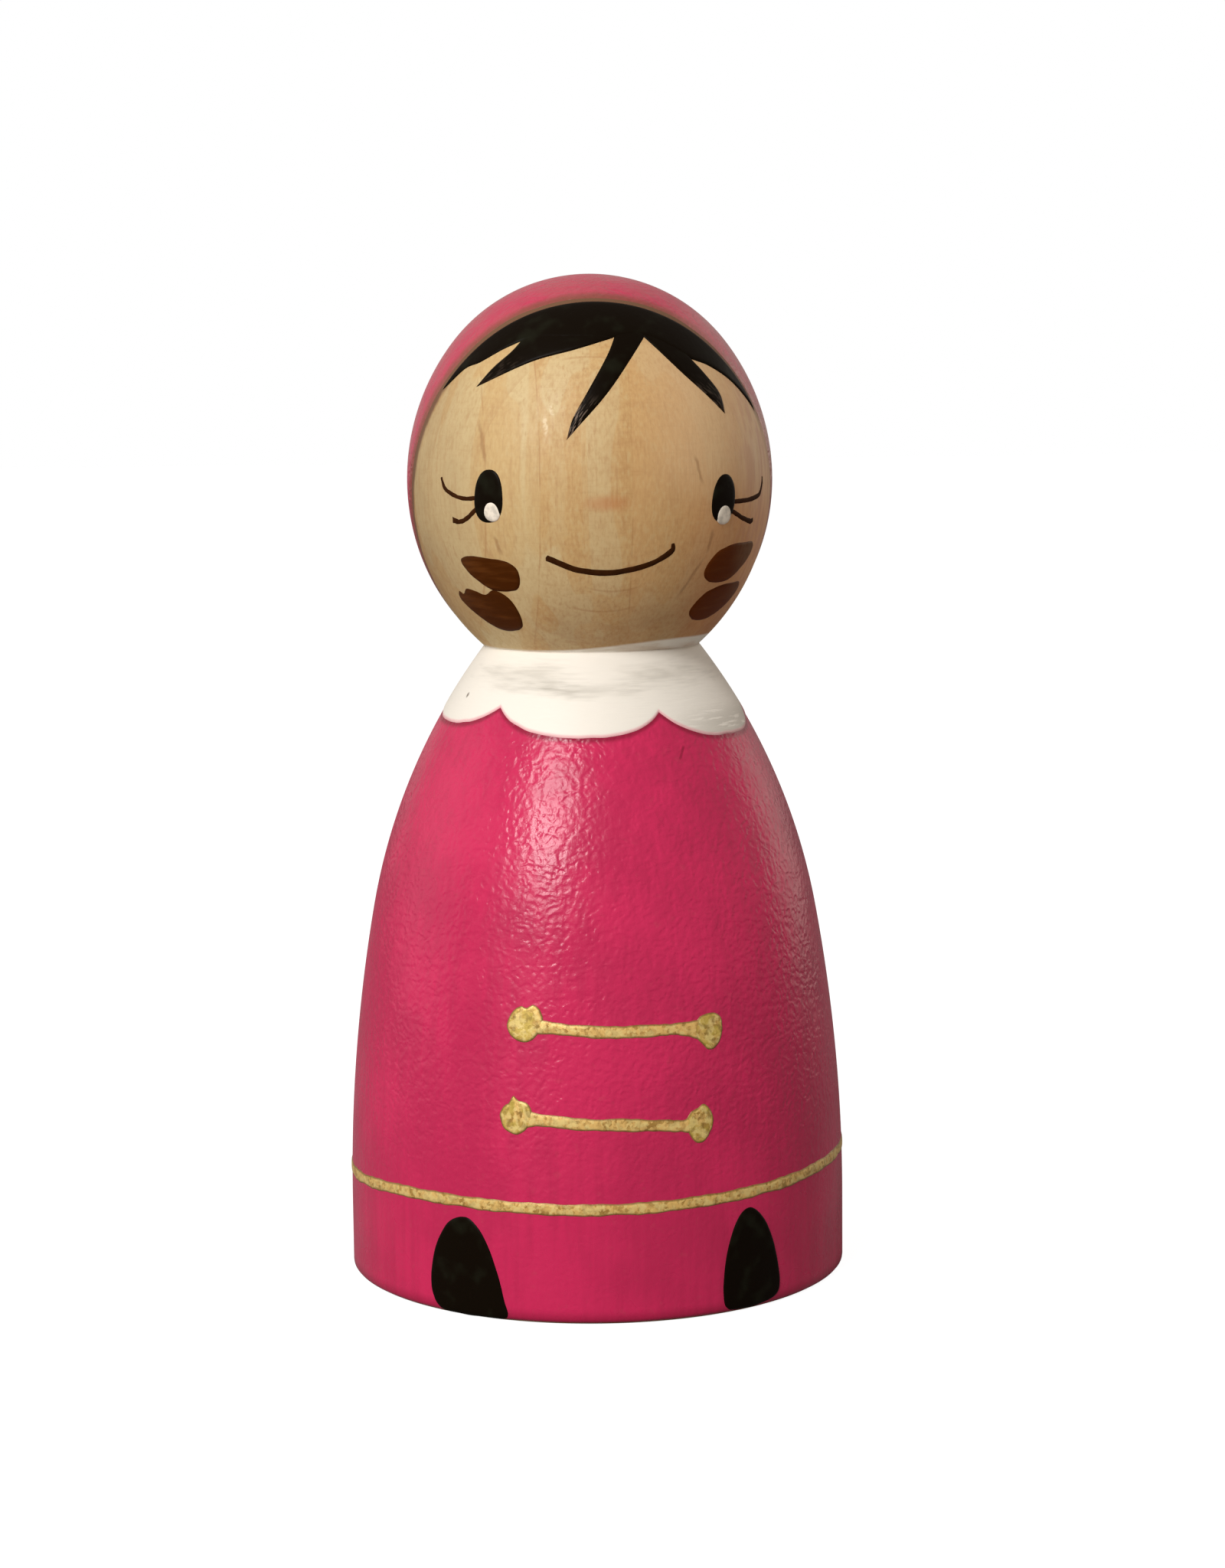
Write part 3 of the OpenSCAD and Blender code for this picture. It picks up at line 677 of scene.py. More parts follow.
def lay_grain(finish, colours):
    """Rings, as distances from a pith line behind the doll, then fibres and specks. Returns the fibres, for
    the gloss, and the relief."""
    warp = finish.noise(0.09) - 0.5
    fine_warp = finish.streaks(0.5, 0.125) - 0.5
    from_pith = ((finish.x - PITH[0]) ** 2.0 + (finish.y - PITH[1]) ** 2.0).root()
    ring = from_pith + warp * 1.1 + fine_warp * 0.35
    wave = (ring / RING_STEP + 0.29).fraction() ** 9.0
    thin_wave = ((ring * (2 * math.pi / FINE_RING_STEP)).sine() * 0.5 + 0.5) ** 3.0
    fibre = finish.streaks(3.2, 0.11, 4.0)
    hair_line = finish.streaks(7, 0.3, 3.0)
    strip = finish.streaks(0.42, 0.012, 0.0)
    strip = strip.ramp(0.47, 0.5) * 0.45 + strip.ramp(0.58, 0.6) * 0.3
    speckle = finish.streaks(4.2, 1.7, 3.0)
    cloud = (strip + finish.noise(0.16) * 0.8).ramp(0.25, 1.1)
    finish.tone = finish.mix(cloud, colours.wood_pale, colours.wood_mid)
    # Painted warm bounce light: the wood turns warmer towards the right
    finish.lay(colours.wood_warm_and_bounce, finish.x.ramp(-11, 14) * 0.55)
    for share in (
        wave * finish.noise(0.3).ramp(0.32, 0.68, 0.08, 0.42),
        thin_wave * finish.noise(0.25).ramp(0.4, 0.7, 0.0, 0.2),
        fibre.ramp(0.5, 0.78) * 0.4,
        hair_line.ramp(0.56, 0.74) * 0.34,
        finish.noise(2.4, 3.0).ramp(0.5, 0.7) * 0.13,
        finish.streaks(0.5, 4.5).ramp(0.52, 0.7) * 0.14,
        speckle.ramp(0.5, 0.66) * 0.2,
    ):
        finish.lay(colours.wood_line, share)
    finish.lay(colours.wood_pale, speckle.ramp(0.48, 0.36) * 0.3)
    return fibre, fibre * 0.45 + hair_line * 0.3 + finish.noise(1.8, 3.0) * 0.55


def lay_strips(finish, colours, front):
    """Upright strips in the middle of the face, each with a thin line on its side, and faint arcs above
    the brow and under the mouth."""
    pale = finish.x.ramp(PALE_STRIP_END + 0.1, PALE_STRIP_END - 0.1)
    finish.lay(colours.wood_pale, pale * front * 0.22)
    warm = finish.x.ramp(WARM_STRIP_START - 0.15, WARM_STRIP_START + 0.15)
    finish.lay(colours.wood_warm_and_bounce, warm * front * 0.2)
    for x_at in STRIP_LINES:
        line = abs(finish.x + (finish.noise(0.5) - 0.5) * 0.12 - x_at).ramp(0.09, 0.02)
        finish.lay(colours.wood_line, line * finish.noise(0.4).ramp(0.35, 0.6) * front * 0.45)
    for x_at, z_at, half, bend in FACE_ARCS:
        beside = finish.x - x_at
        off = abs(finish.z - z_at - beside**2.0 * bend).ramp(0.12, 0.03)
        finish.lay(colours.wood_line, off * abs(beside).ramp(half, half * 0.5) * front * 0.35)


def lay_painted_light_shade_and_rub(finish, colours, front):
    """Painted shade on the wood's left side, the chin and low on the right cheek, painted light that
    makes the wood paler and warmer on the right, and pink that rubbed off there."""
    # Painted shade: darker wood on the left side, at the chin and low on the right cheek, where the light
    # falls off
    painted_shade = (-finish.x).ramp(8, 13.5) * 0.32 + finish.z.ramp(57, 51.5) * finish.x.ramp(-7, -3) * 0.34
    painted_shade = painted_shade + finish.x.ramp(4, 9.5) * finish.z.ramp(61, 53.5) * 0.22
    finish.lay(colours.wood_painted_shade, painted_shade * finish.noise(0.5, 3.0).ramp(0.3, 0.7, 0.7, 1.0))
    # Painted light: paler wood high on the right of the face and along the right rim
    rim = finish.x.ramp(1, 7) * finish.z.ramp(60, 66) * 0.35 + finish.x.ramp(9.5, 13.5) * 0.6
    finish.lay(colours.wood_painted_light, rim)
    # Painted warm light: redder wood on the right of the face
    finish.lay(colours.wood_painted_warm_light, finish.x.ramp(4, 9) * finish.z.ramp(66, 60) * 0.28)
    rubbed = finish.x.ramp(8.5, 13) * finish.streaks(1.6, 0.2, 3.0).ramp(0.42, 0.6)
    finish.lay(colours.rubbed_pink, rubbed * front * 0.4)


def lay_face_marks(finish, colours, front):
    """A warm oval in the middle of the face, and short streaks, each along a slanting line."""
    finish.lay(colours.wood_oval, finish.spot(*WARM_OVAL).ramp(1.2, 0.2) * front * 0.48)
    for x_at, z_at, slope, half in FACE_STREAKS:
        above = finish.z - z_at
        off = abs(finish.x - x_at + above * slope + (finish.noise(1.2) - 0.5) * 0.4).ramp(0.2, 0.03)
        finish.lay(colours.wood_streak, off * abs(above).ramp(half, half * 0.4) * front * 0.45)


def lay_paint_edges(finish, sizes, colours):
    """Stained wood beside the hood, and white wash dragged up over the crease on the right."""
    stain = hood_distance(finish, sizes) + (finish.noise(0.8) - 0.5) * 0.5
    faint = hood_fade(finish) * 0.75
    finish.lay(colours.wood_stain, stain.ramp(1.1, 0.5) * stain.ramp(-2.0, -1.0) * (1.0 - faint))
    above = finish.z - sizes.neck_height / MM
    wash = (finish.x.ramp(-5, 7, 0.25, 1.05) - above).ramp(-0.12, 0.12) * above.ramp(-0.6, 0.0)
    finish.lay(colours.white, wash * finish.streaks(0.28, 2.1, 3.0).ramp(0.3, 0.6, 0.55, 0.95))


def wood_finish(sizes, colours):
    """Pale varnished hardwood: the head's front shows ovals and its sides upright lines. Two drops of
    thicker varnish on the forehead shine, their colour lightened by a painted highlight."""
    finish = Finish("bare_wood", specular=0.32)
    fibre, relief = lay_grain(finish, colours)
    front = (-finish.y).ramp(2, 4)
    lay_strips(finish, colours, front)
    lay_painted_light_shade_and_rub(finish, colours, front)
    lay_face_marks(finish, colours, front)
    lay_paint_edges(finish, sizes, colours)
    gloss = 0.0
    for drop in VARNISH_DROPS:
        gloss = finish.spot(*drop).ramp(1.3, 0.6) * front + gloss
    gloss = gloss * finish.noise(3.0).ramp(0.35, 0.6)
    # Painted highlight: the drops' colour is lightened where they shine
    finish.lay(colours.varnish_drop_highlight, gloss * 0.5)
    roughness = fibre.ramp(0.3, 0.7, 0.46, 0.58)
    return finish.done(relief, 0.025, roughness=roughness, coat_weight=gloss * 0.08, coat_roughness=0.3)


def lay_hood_wear_and_highlight(finish, sizes, colours):
    """Hood paint, thin all over, stained at its edge, faded on the right, with a painted highlight high up.
    """
    edge = (finish.noise(0.9) - 0.5) * 0.5 - hood_distance(finish, sizes)
    finish.lay(colours.pink_thin, finish.noise(0.35).ramp(0.35, 0.65, 0.4, 0.75))
    finish.lay(colours.wood_stain, edge.ramp(1.0, 0.1) * 0.7)
    finish.lay(colours.hood_faded, hood_fade(finish) * edge.ramp(3.2, 0.8) * 0.85)
    # Painted highlight: paler pink high on the hood's right, near its edge
    highlight_high_right = finish.x.ramp(4, 11) * finish.z.ramp(79, 76)
    finish.lay(colours.hood_painted_highlight, highlight_high_right * edge.ramp(7, 2.5) * 0.4)


def lay_coat_shade_and_scratch(finish, colours):
    """The coat's paint, with painted shadow along the collar, painted shade at the base, and a scratch."""
    # Painted shadow in a band under the collar's edge, and painted shade on the lowest mm of the coat
    under = finish.mark("under_collar")
    finish.lay(colours.pink_shade_and_scratch, under.ramp(0.5, 0.12) * under.ramp(-0.4, -0.1) * 0.75)
    finish.lay(colours.pink_shade_and_scratch, finish.z.ramp(1.3, 0.25) * 0.6)
    above = finish.z - SCRATCH[1]
    scratch = abs(finish.x - SCRATCH[0] - above * 0.4).ramp(0.16, 0.06) * abs(above).ramp(0.6, 0.35)
    finish.lay(colours.pink_shade_and_scratch, scratch * (-finish.y).ramp(1, 2) * 0.6)


def pink_finish(name, sizes, colours, on_hood):
    """Brushed pink paint with a crinkled, leathery skin, calmer near the base."""
    finish = Finish(name, specular=0.35)
    cloud = finish.streaks(1.3, 0.12, 3.0) * 0.35 + finish.noise(0.12) * 0.65
    deep = tuple(0.84 * part for part in colours.pink)
    finish.tone = finish.mix(cloud.ramp(0.38, 0.62), colours.pink, deep)
    finish.lay(colours.pink_thin, finish.noise(1.4, 3.0).ramp(0.6, 0.78) * 0.16)
    if on_hood:
        lay_hood_wear_and_highlight(finish, sizes, colours)
    else:
        lay_coat_shade_and_scratch(finish, colours)
    push = finish.join(*(finish.noise(scale) * 1.2 for scale in (0.6, 0.65, 0.7)))
    bent = finish.node("ShaderNodeVectorMath", {"operation": "ADD"}, {0: finish.stretched(1, 1.05), 1: push})
    crinkle = finish.cells(2.1, bent, "SMOOTH_F1").ramp(0.08, 0.7)
    ripple = finish.streaks(1.9, 2.09, 3.0, 0.3)
    relief = (crinkle * 0.55 + ripple * 0.7) * finish.z.ramp(6, 18, 0.3, 1.0)
    relief = relief + finish.streaks(2.6, 0.12) * 0.3
    return finish.done(relief, 0.055, roughness=finish.noise(0.3).ramp(0.3, 0.7, 0.24, 0.32))


def collar_finish(colours):
    """Thin white paint in broad level strokes, pinkish at the rim where it lies over the coat, with painted
    shade low on the right.
    """
    finish = Finish("white_collar", specular=0.3)
    stroke = finish.streaks(0.13, 0.42, 2.0, 0.3)
    fine = finish.streaks(0.5, 5)
    drag = finish.streaks(0.45, 3.5, 3.0).ramp(0.3, 0.66, 0.5, 1.0)
    worn = 0.0
    for spot in WORN_SPOTS:
        worn = (finish.spot(*spot) + (stroke - 0.5) * 2.6 + (fine - 0.5) * 1.2).ramp(1.35, 0.2) + worn
    worn = worn * drag * (-finish.y).ramp(1, 3) * 0.58
    finish.tone = finish.mix(worn, colours.white, colours.white_thin_and_shade)
    # Painted shade: greyer white low on the collar's right, broken up by the brush's drag
    right = finish.x.ramp(3, 10) * drag.ramp(0.5, 0.72) * finish.z.ramp(46.6, 45) * 0.6
    finish.lay(colours.white_thin_and_shade, right)
    finish.lay(colours.white_rim, finish.mark("rim").ramp(0.3, 0.06) * 0.85)
    x, y, z = (place - at for place, at in zip((finish.x, finish.y, finish.z), SPECK))
    speck = (x**2.0 + y**2.0 + (z * 0.5) ** 2.0).root()
    finish.lay(colours.speck, speck.ramp(0.24, 0.1) * 0.75)
    relief = stroke * 0.5 + drag * 0.4 + fine * 0.5 + finish.noise(2.5) * 0.2
    return finish.done(relief, 0.035, roughness=0.5)


def black_finish(name, colours, streaky):
    """Black paint with patches of painted sheen. On the hair it runs dry in streaks towards the tips."""
    finish = Finish(name, specular=0.05)
    # Painted sheen: greenish patches in the black's colour
    cast = finish.noise(0.5).ramp(0.5, 0.75) * 0.55
    finish.tone = finish.mix(cast, colours.black, colours.black_sheen)
    if streaky:
        reach, across, dry = (finish.mark(mark) for mark in ("reach", "across", "dry"))
        lane = finish.join(across * 2.6 + reach * 9.0, across * 5.0 - reach * 2.0, 0.0)
        streak = finish.noise(1.0, 2.0, lane).ramp(0.5, 0.6) * reach.ramp(0.5, 0.2)
        finish.lay(colours.hair_dry, streak * dry * 0.75)
        finish.lay(colours.wood_stain, reach.ramp(0.14, 0.0) * dry * 0.8)
    return finish.done(finish.noise(1.1, 3.0) * 0.7 + finish.noise(4.0) * 0.3, 0.025, roughness=0.4)


def mark_finish(name, colours, fade):
    """Dark brown paint that lets the wood through in streaks. fade lightens it towards the outer end."""
    finish = Finish(name, specular=0.04)
    lane = finish.join(finish.mark("across") * 6.0, finish.mark("reach") * 1.6, finish.z * 0.05)
    streak = finish.noise(1.0, 4.0, lane).ramp(0.4, 0.75)
    finish.tone = finish.mix(finish.x.ramp(0, 5), colours.brown, colours.brown_warm)
    finish.lay(colours.brown_thin, streak * 0.4)
    finish.lay(colours.brown_edge, finish.mark("rim").ramp(0.3, 0.05) * 0.25)
    upright = finish.streaks(4, 0.4, 3.0).ramp(0.3, 0.7, 0.55, 1.0)
    finish.lay(colours.brown_faded, abs(finish.x).ramp(9.6, 12) * upright * fade)
    return finish.done(streak * 0.5 + finish.noise(2.0) * 0.3, 0.02, roughness=0.38)


def plain_finish(name, paint, roughness, specular):
    """One even colour with a faint grain."""
    finish = Finish(name, specular)
    shade = tuple(0.72 * part for part in paint)
    finish.tone = finish.mix(finish.noise(2.0).ramp(0.4, 0.7), paint, shade)
    return finish.done(finish.noise(3.0), 0.012, roughness=roughness)


def gold_finish(name, colours, olive):
    """Gold paint full of small flakes, each with its own shade, greener by a share."""
    finish = Finish(name, specular=0.5)
    flake = finish.node("ShaderNodeSeparateColor", {}, {0: finish.cells(4.2, output="Color")})
    cloud = finish.noise(1.3, 3.0)
    mottle = flake * 0.3 + cloud * 0.4 + finish.streaks(3.4, 0.5, 3.0) * 0.5
    finish.tone = finish.mix(mottle.ramp(0.4, 0.66), colours.gold_dark, colours.gold)
    finish.lay(colours.gold_olive, cloud.ramp(0.35, 0.6) * olive)
    finish.lay(colours.gold_light, flake.ramp(0.75, 1.0) * 0.5)
    finish.lay(colours.gold_light, finish.noise(1.6, 3.0).ramp(0.52, 0.42) * 0.65)
    # The gold turns darker in mottles and within a little of its rim
    finish.lay(colours.gold_rim, finish.noise(2.1, 3.0).ramp(0.48, 0.64) * (0.22 + 0.38 * olive))
    finish.lay(colours.gold_rim, finish.mark("rim").ramp(0.2, 0.03) * 0.85)
    relief = flake * 0.4 + finish.noise(3.0) * 0.6
    return finish.done(relief, 0.03, metallic=0.3, roughness=0.42)


# Pieces


def settings():
    """The doll's sizes, its colours, its stage and the turned surface."""
    scene = bpy.context.scene
    return scene.doll_sizes, scene.doll_colours, scene.doll_stage, TurnedSurface(scene.doll_sizes)


def grid(across, rows):
    """The same run of azimuths for each of the rows."""
    return np.repeat(across[None], rows, 0)


class PieceOperator:
    """What every step of the build shares."""

    bl_options = {"REGISTER", "UNDO"}


class DOLL_OT_wood(PieceOperator, bpy.types.Operator):
    """Turn the peg: its outline swept round the axis"""

    bl_idname = "doll.wood"
    bl_label = "Turned peg"

    def execute(self, context):
        sizes, colours, _, surface = settings()
        base, edge, around = surface.base, surface.edge, 288
        profile = [np.array([[0.0, 0.0], [base * 0.4, 0.0], [base * 0.8, 0.0]])]
        profile.append(arc_points(base - edge, edge, edge, 0, edge, 7))
        profile.append(np.array([[base, surface.foot_z * 0.5]]))
        bottom = surface.foot_z
        for arc, count in zip([*surface.body[1:], *surface.upper], (44, 40, 40, 30, 26)):
            profile.append(arc_points(*arc[:3], bottom, arc[3], count)[:-1])
            bottom = arc[3]
        profile.append(np.array([[0.0, surface.crown_z]]))
        radius, z = np.concatenate(profile).T[..., None]
        turn = np.linspace(0, 2 * math.pi, around, endpoint=False)
        rings = np.stack([radius * np.sin(turn), -radius * np.cos(turn), np.repeat(z, around, 1)], -1)
        closed_piece("wood_peg", rings, ["turned_peg"], wood_finish(sizes, colours))
        return {"FINISHED"}


# The collar's cusps in degrees, the drop of each lobe and of the cusps in mm, and its tilt in degrees
CUSPS = (-45.5, 19.5, 80, 140, 200, 258)
LOBE_DROPS = (6.3, 6.3, 6.25, 6.25, 6.25, 5.95)
CUSP_DROP, LOBE_POWER, COLLAR_TILT = 4.4, 2.9, 2.0
# Radius in mm at which the tilt is measured
COLLAR_REACH = 11.0


def collar_edge(azimuth, sizes):
    """Height of the collar's lower edge at azimuths in degrees: between two cusps it falls by a power of
    the way to the lobe's middle, and the whole collar tips down to the right."""
    ends = np.array([*CUSPS, CUSPS[0] + 360])
    turned = (azimuth - ends[0]) % 360 + ends[0]
    lobe = np.clip(np.searchsorted(ends, turned, "right") - 1, 0, len(CUSPS) - 1)
    share = 2 * (turned - ends[lobe]) / (ends[lobe + 1] - ends[lobe]) - 1
    low = np.array(LOBE_DROPS)[lobe]
    drop = CUSP_DROP + (low - CUSP_DROP) * (1 - np.abs(share) ** LOBE_POWER)
    tip = np.sin(np.radians(azimuth)) * COLLAR_REACH * math.tan(math.radians(COLLAR_TILT))
    return sizes.neck_height - (drop + tip) * MM


class DOLL_OT_coat(PieceOperator, bpy.types.Operator):
    """Paint the coat: a film all round the body, from just above the ground to the neck crease"""

    bl_idname = "doll.coat"
    bl_label = "Coat"

    def execute(self, context):
        sizes, colours, _, surface = settings()
        count, around = 150, 360
        z = surface.edge * np.array([0.3, 0.5, 0.75])
        z = np.concatenate([z, np.linspace(surface.edge, surface.neck_z, count)])
        thick = np.full(len(z), sizes.coat_film)
        thick[[0, 1, -1]] *= (0, 0.6, 0.2)
        grid_a, grid_z = np.meshgrid(np.linspace(0, 360, around, endpoint=False), z)
        below = (collar_edge(grid_a, sizes) - grid_z) / MM
        back = slice(count, None, -6)
        rings, marks = shell(
            surface, grid_a, grid_z, thick[:, None], 0, head=False, back=back, under_collar=below
        )
        pink = pink_finish("pink_coat", sizes, colours, on_hood=False)
        closed_piece("pink_coat", rings, ["coat"], pink, marks, looped=True)
        return {"FINISHED"}


class DOLL_OT_collar(PieceOperator, bpy.types.Operator):
    """Paint the collar: a film over the coat's top, from its scalloped edge up to the neck crease"""

    bl_idname = "doll.collar"
    bl_label = "Collar"

    def execute(self, context):
        sizes, colours, _, surface = settings()
        around, rows, reach = 720, 40, 0.75 * math.pi
        azimuth = np.linspace(-180, 180, around, endpoint=False)
        low = collar_edge(azimuth, sizes) + wobble(around, amount=0.05, waves=26, seed=5, closed=True) * MM
        share = (1 - np.cos(np.linspace(0, reach, rows))) / (1 - math.cos(reach))
        z = low + (surface.neck_z - low) * share[:, None]
        distance, base = z - low, sizes.coat_film
        lift = base + sizes.top_film * risen(distance)
        back = slice(None, None, -8)
        rings, marks = shell(
            surface, grid(azimuth, rows), z, lift, base, head=False, back=back, rim=distance / MM
        )
        white = collar_finish(colours)
        closed_piece("white_collar", rings, ["collar"], white, marks, looped=True)
        return {"FINISHED"}


def head_ray(surface, polar, turn):
    """Points where rays from the middle of the head meet its surface, by halving.

    A ray leaves at a polar angle from the backward direction and at a turn round it from upright.
    """
    out, back, up = np.sin(polar) * np.sin(turn), np.cos(polar), np.sin(polar) * np.cos(turn)

    def within(reach):
        return reach * np.hypot(out, back) < surface.section(surface.widest_z + reach * up, head=True)[0]

    reach = halve(within, np.zeros_like(polar), np.full_like(polar, 2 * surface.head))
    return np.stack([reach * out, reach * back, surface.widest_z + reach * up], -1)


def hood_reach(sizes, surface, x, z):
    """How far the plane of the hood's edge stands in front of the axis at x and z."""
    lean = math.tan(sizes.hood_lean) * (z - surface.widest_z)
    return sizes.hood_front + lean + math.tan(sizes.hood_turn) * x


class DOLL_OT_hood(PieceOperator, bpy.types.Operator):
    """Paint the hood: a film over the back of the head, up to the leaning plane of its edge"""

    bl_idname = "doll.hood"
    bl_label = "Hood"

    def execute(self, context):
        sizes, colours, _, surface = settings()
        around, rows = 300, 70
        turn = np.linspace(0, 2 * math.pi, around, endpoint=False)

        def under_hood(polar):
            x, y, z = np.moveaxis(head_ray(surface, polar, turn), -1, 0)
            return (y > -hood_reach(sizes, surface, x, z)) & (z > surface.neck_z)

        edge = halve(under_hood, np.zeros(around), np.full(around, math.pi * 0.9))
        above = head_ray(surface, edge, turn)[:, 2] - surface.neck_z
        sway = np.radians(wobble(around, amount=0.35, waves=14, seed=8, closed=True))
        edge = edge + sway * np.clip(above / MM - 0.2, 0, 1)
        polar = edge * np.sin(np.linspace(0, math.pi / 2, rows))[:, None]
        x, y, z = np.moveaxis(head_ray(surface, polar, grid(turn, rows)), -1, 0)
        lift = sizes.coat_film * risen((edge - polar) * surface.head, 4 * RIM)
        azimuth = np.degrees(np.arctan2(x, -y))
        rings, _ = shell(surface, azimuth, z, lift, 0, head=True, back=slice(None, None, -3))
        pink = pink_finish("pink_hood", sizes, colours, on_hood=True)
        closed_piece("pink_hood", rings, ["hood"], pink)
        return {"FINISHED"}


# The hair's lower edge, and the left and right edge of each lock, as seen from the front: x and z in mm
BAND_LOW = [
    (-12.6, 70.6), (-11.9, 71.2), (-10.4, 72.65), (-9.3, 73.15), (-7.2, 74.3), (-5.5, 74.85), (-2.3, 74.85),
    (0.5, 74.9), (1.3, 75.02), (3.05, 75.0), (5.0, 74.2), (6.55, 73.35), (8.2, 72.75), (10.05, 71.67),
    (11.6, 70.2), (13.1, 68.3),
]
# For each lock also how dry the brush ran
LOCKS = {
    "hair_lock_left": (
        [(-9.75, 71.25), (-8.45, 72.7), (-7.0, 73.95), (-5.95, 75.0), (-4.5, 75.9)],
        [(-9.75, 71.25), (-6.9, 72.6), (-4.95, 73.35), (-2.3, 74.02), (0.9, 74.95)],
        0.1,
    ),
    "hair_lock_long": (
        [(-3.4, 67.15), (-2.85, 68.8), (-1.65, 70.8), (0.2, 73.8), (1.2, 76.0)],
        [(-3.4, 67.15), (-2.45, 68.2), (-0.12, 70.7), (2.2, 73.7), (3.9, 76.0)],
        1.0,
    ),
    "hair_lock_right": (
        [(9.4, 69.0), (7.95, 70.38), (5.9, 72.2), (4.0, 74.05), (2.5, 75.5)],
        [(9.4, 69.0), (9.05, 70.6), (7.8, 72.2), (6.7, 73.4), (5.6, 74.9)],
        0.2,
    ),
}


def turned_edge(surface, points, count):
    """Edge through points given as (distance from the middle seen from the front, height), in mm."""
    edge = smooth(points, count) * MM
    edge[:, 0] = surface.azimuth(edge[:, 0], edge[:, 1], head=True)
    return edge


class DOLL_OT_hair(PieceOperator, bpy.types.Operator):
    """Paint the hair: a band along the hood's edge and three pointed locks"""

    bl_idname = "doll.hair"
    bl_label = "Hair"

    def band_edges(self, sizes, surface, count):
        """The band's lower edge, and its upper edge in a plane before the hood's, where they lie apart."""
        low = smooth(BAND_LOW, count) * MM
        x = low[:, 0].copy()

        def in_front(z):
            depth = np.sqrt(np.maximum(surface.section(z, head=True)[0] ** 2 - x**2, 0))
            return depth > hood_reach(sizes, surface, x, z) + sizes.hood_gap

        top = halve(in_front, np.full(count, surface.widest_z), np.full(count, surface.crown_z))
        wide = np.flatnonzero(top > low[:, 1])
        span = slice(max(wide[0] - 1, 0), min(wide[-1] + 2, count))
        low, high = low[span], np.stack([x, top], -1)[span]
        high[0], high[-1] = low[0], low[-1]
        for edge in (low, high):
            edge[:, 0] = surface.azimuth(edge[:, 0], edge[:, 1], head=True)
        unsteady = wobble(len(low), amount=0.04, waves=8, seed=21)
        low[:, 1] += unsteady * np.sin(np.linspace(0, math.pi, len(low))) * MM
        return low, high

    def execute(self, context):
        sizes, colours, _, surface = settings()
        edges = self.band_edges(sizes, surface, 150)
        strips = {"hair_band": (film(surface, *edges, 0, sizes.coat_film, head=True, columns=22), 0.0)}
        for i, (name, (left, right, dryness)) in enumerate(LOCKS.items()):
            edges = [turned_edge(surface, side, 60) for side in (left, right)]
            thick = sizes.coat_film * (LOCK_SHARE - LOCK_STEP * i)
            strips[name] = film(surface, *edges, 0, thick, head=True, columns=14), dryness
        black = black_finish("black_hair", colours, streaky=True)
        for name, ((rings, marks), dryness) in strips.items():
            marks["dry"] = np.full_like(marks["rim"], dryness)
            closed_piece(name, rings, ["hair"], black, marks)
        return {"FINISHED"}


# Each eye: azimuth, height, width, height of the oval and its power. Each glint: azimuth, height, width
EYES = {"left": (-39.35, 62.97, 2.6, 4.06, 2.4), "right": (39.0, 62.56, 2.62, 3.7, 2.2)}
EYE_SLANT = 0.06
GLINTS = {"left": (-38.3, 61.8, 1.45), "right": (39.3, 61.3, 1.6)}
GLINT_HEIGHT, GLINT_POWER = 1.54, 2.1


class DOLL_OT_eyes(PieceOperator, bpy.types.Operator):
    """Paint the eyes and the white glint in each"""

    bl_idname = "doll.eyes"
    bl_label = "Eyes"

    def execute(self, context):
        sizes, colours, _, surface = settings()
        depth = sizes.top_film
        black = black_finish("black_eyes", colours, streaky=False)
        white = plain_finish("white_glint", colours.glint, roughness=0.5, specular=0.3)
        for side, eye in EYES.items():
            rings, marks = patch(surface, oval(*eye, surface, EYE_SLANT), 0, depth, head=True)
            closed_piece(f"{side}_eye_paint", rings, [f"{side}_eye"], black, marks)
            outline = oval(*GLINTS[side], GLINT_HEIGHT, GLINT_POWER, surface)
            rings, marks = patch(surface, outline, GLINT_BASE_SHARE * depth, GLINT_SHARE * depth, head=True)
            closed_piece(f"{side}_glint_paint", rings, [f"{side}_glint"], white, marks)
        return {"FINISHED"}


# Each pen line: the azimuths and heights in mm that it runs through, and its width in mm at each
PEN_LINES = {
    "left_upper_lash": (
        [(-43.8, 62.84), (-47.5, 62.76), (-51.8, 62.9), (-57.2, 63.48), (-59.3, 64.4)],
        (0.34, 0.33, 0.33, 0.36, 0.24),
    ),
    "left_lower_lash": (
        [(-43.9, 62.02), (-47.9, 61.3), (-51.5, 60.97), (-54.9, 61.1)],
        (0.36, 0.36, 0.36, 0.5),
    ),
    "right_upper_lash": (
        [(43.0, 62.26), (51.3, 62.32), (59.5, 62.66), (62, 63.48), (62.3, 64.1)],
        (0.36, 0.37, 0.4, 0.34, 0.2),
    ),
    "right_lower_lash": (
        [(42.6, 61.6), (48.3, 61.03), (52.4, 60.75), (55.2, 60.62), (56.8, 60.75)],
        (0.36, 0.37, 0.38, 0.42, 0.34),
    ),
    "smile": (
        [(-21.5, 58.3), (-17.2, 57.86), (-12.2, 57.39), (-6.5, 57.13), (-0.5, 57.07), (5.5, 57.23),
         (11, 57.53), (15.8, 57.96), (19.4, 58.5), (20.5, 58.85), (20.2, 59.25)],
        (0.5, 0.46, 0.46, 0.46, 0.46, 0.44, 0.43, 0.43, 0.48, 0.42, 0.26),
    ),
}


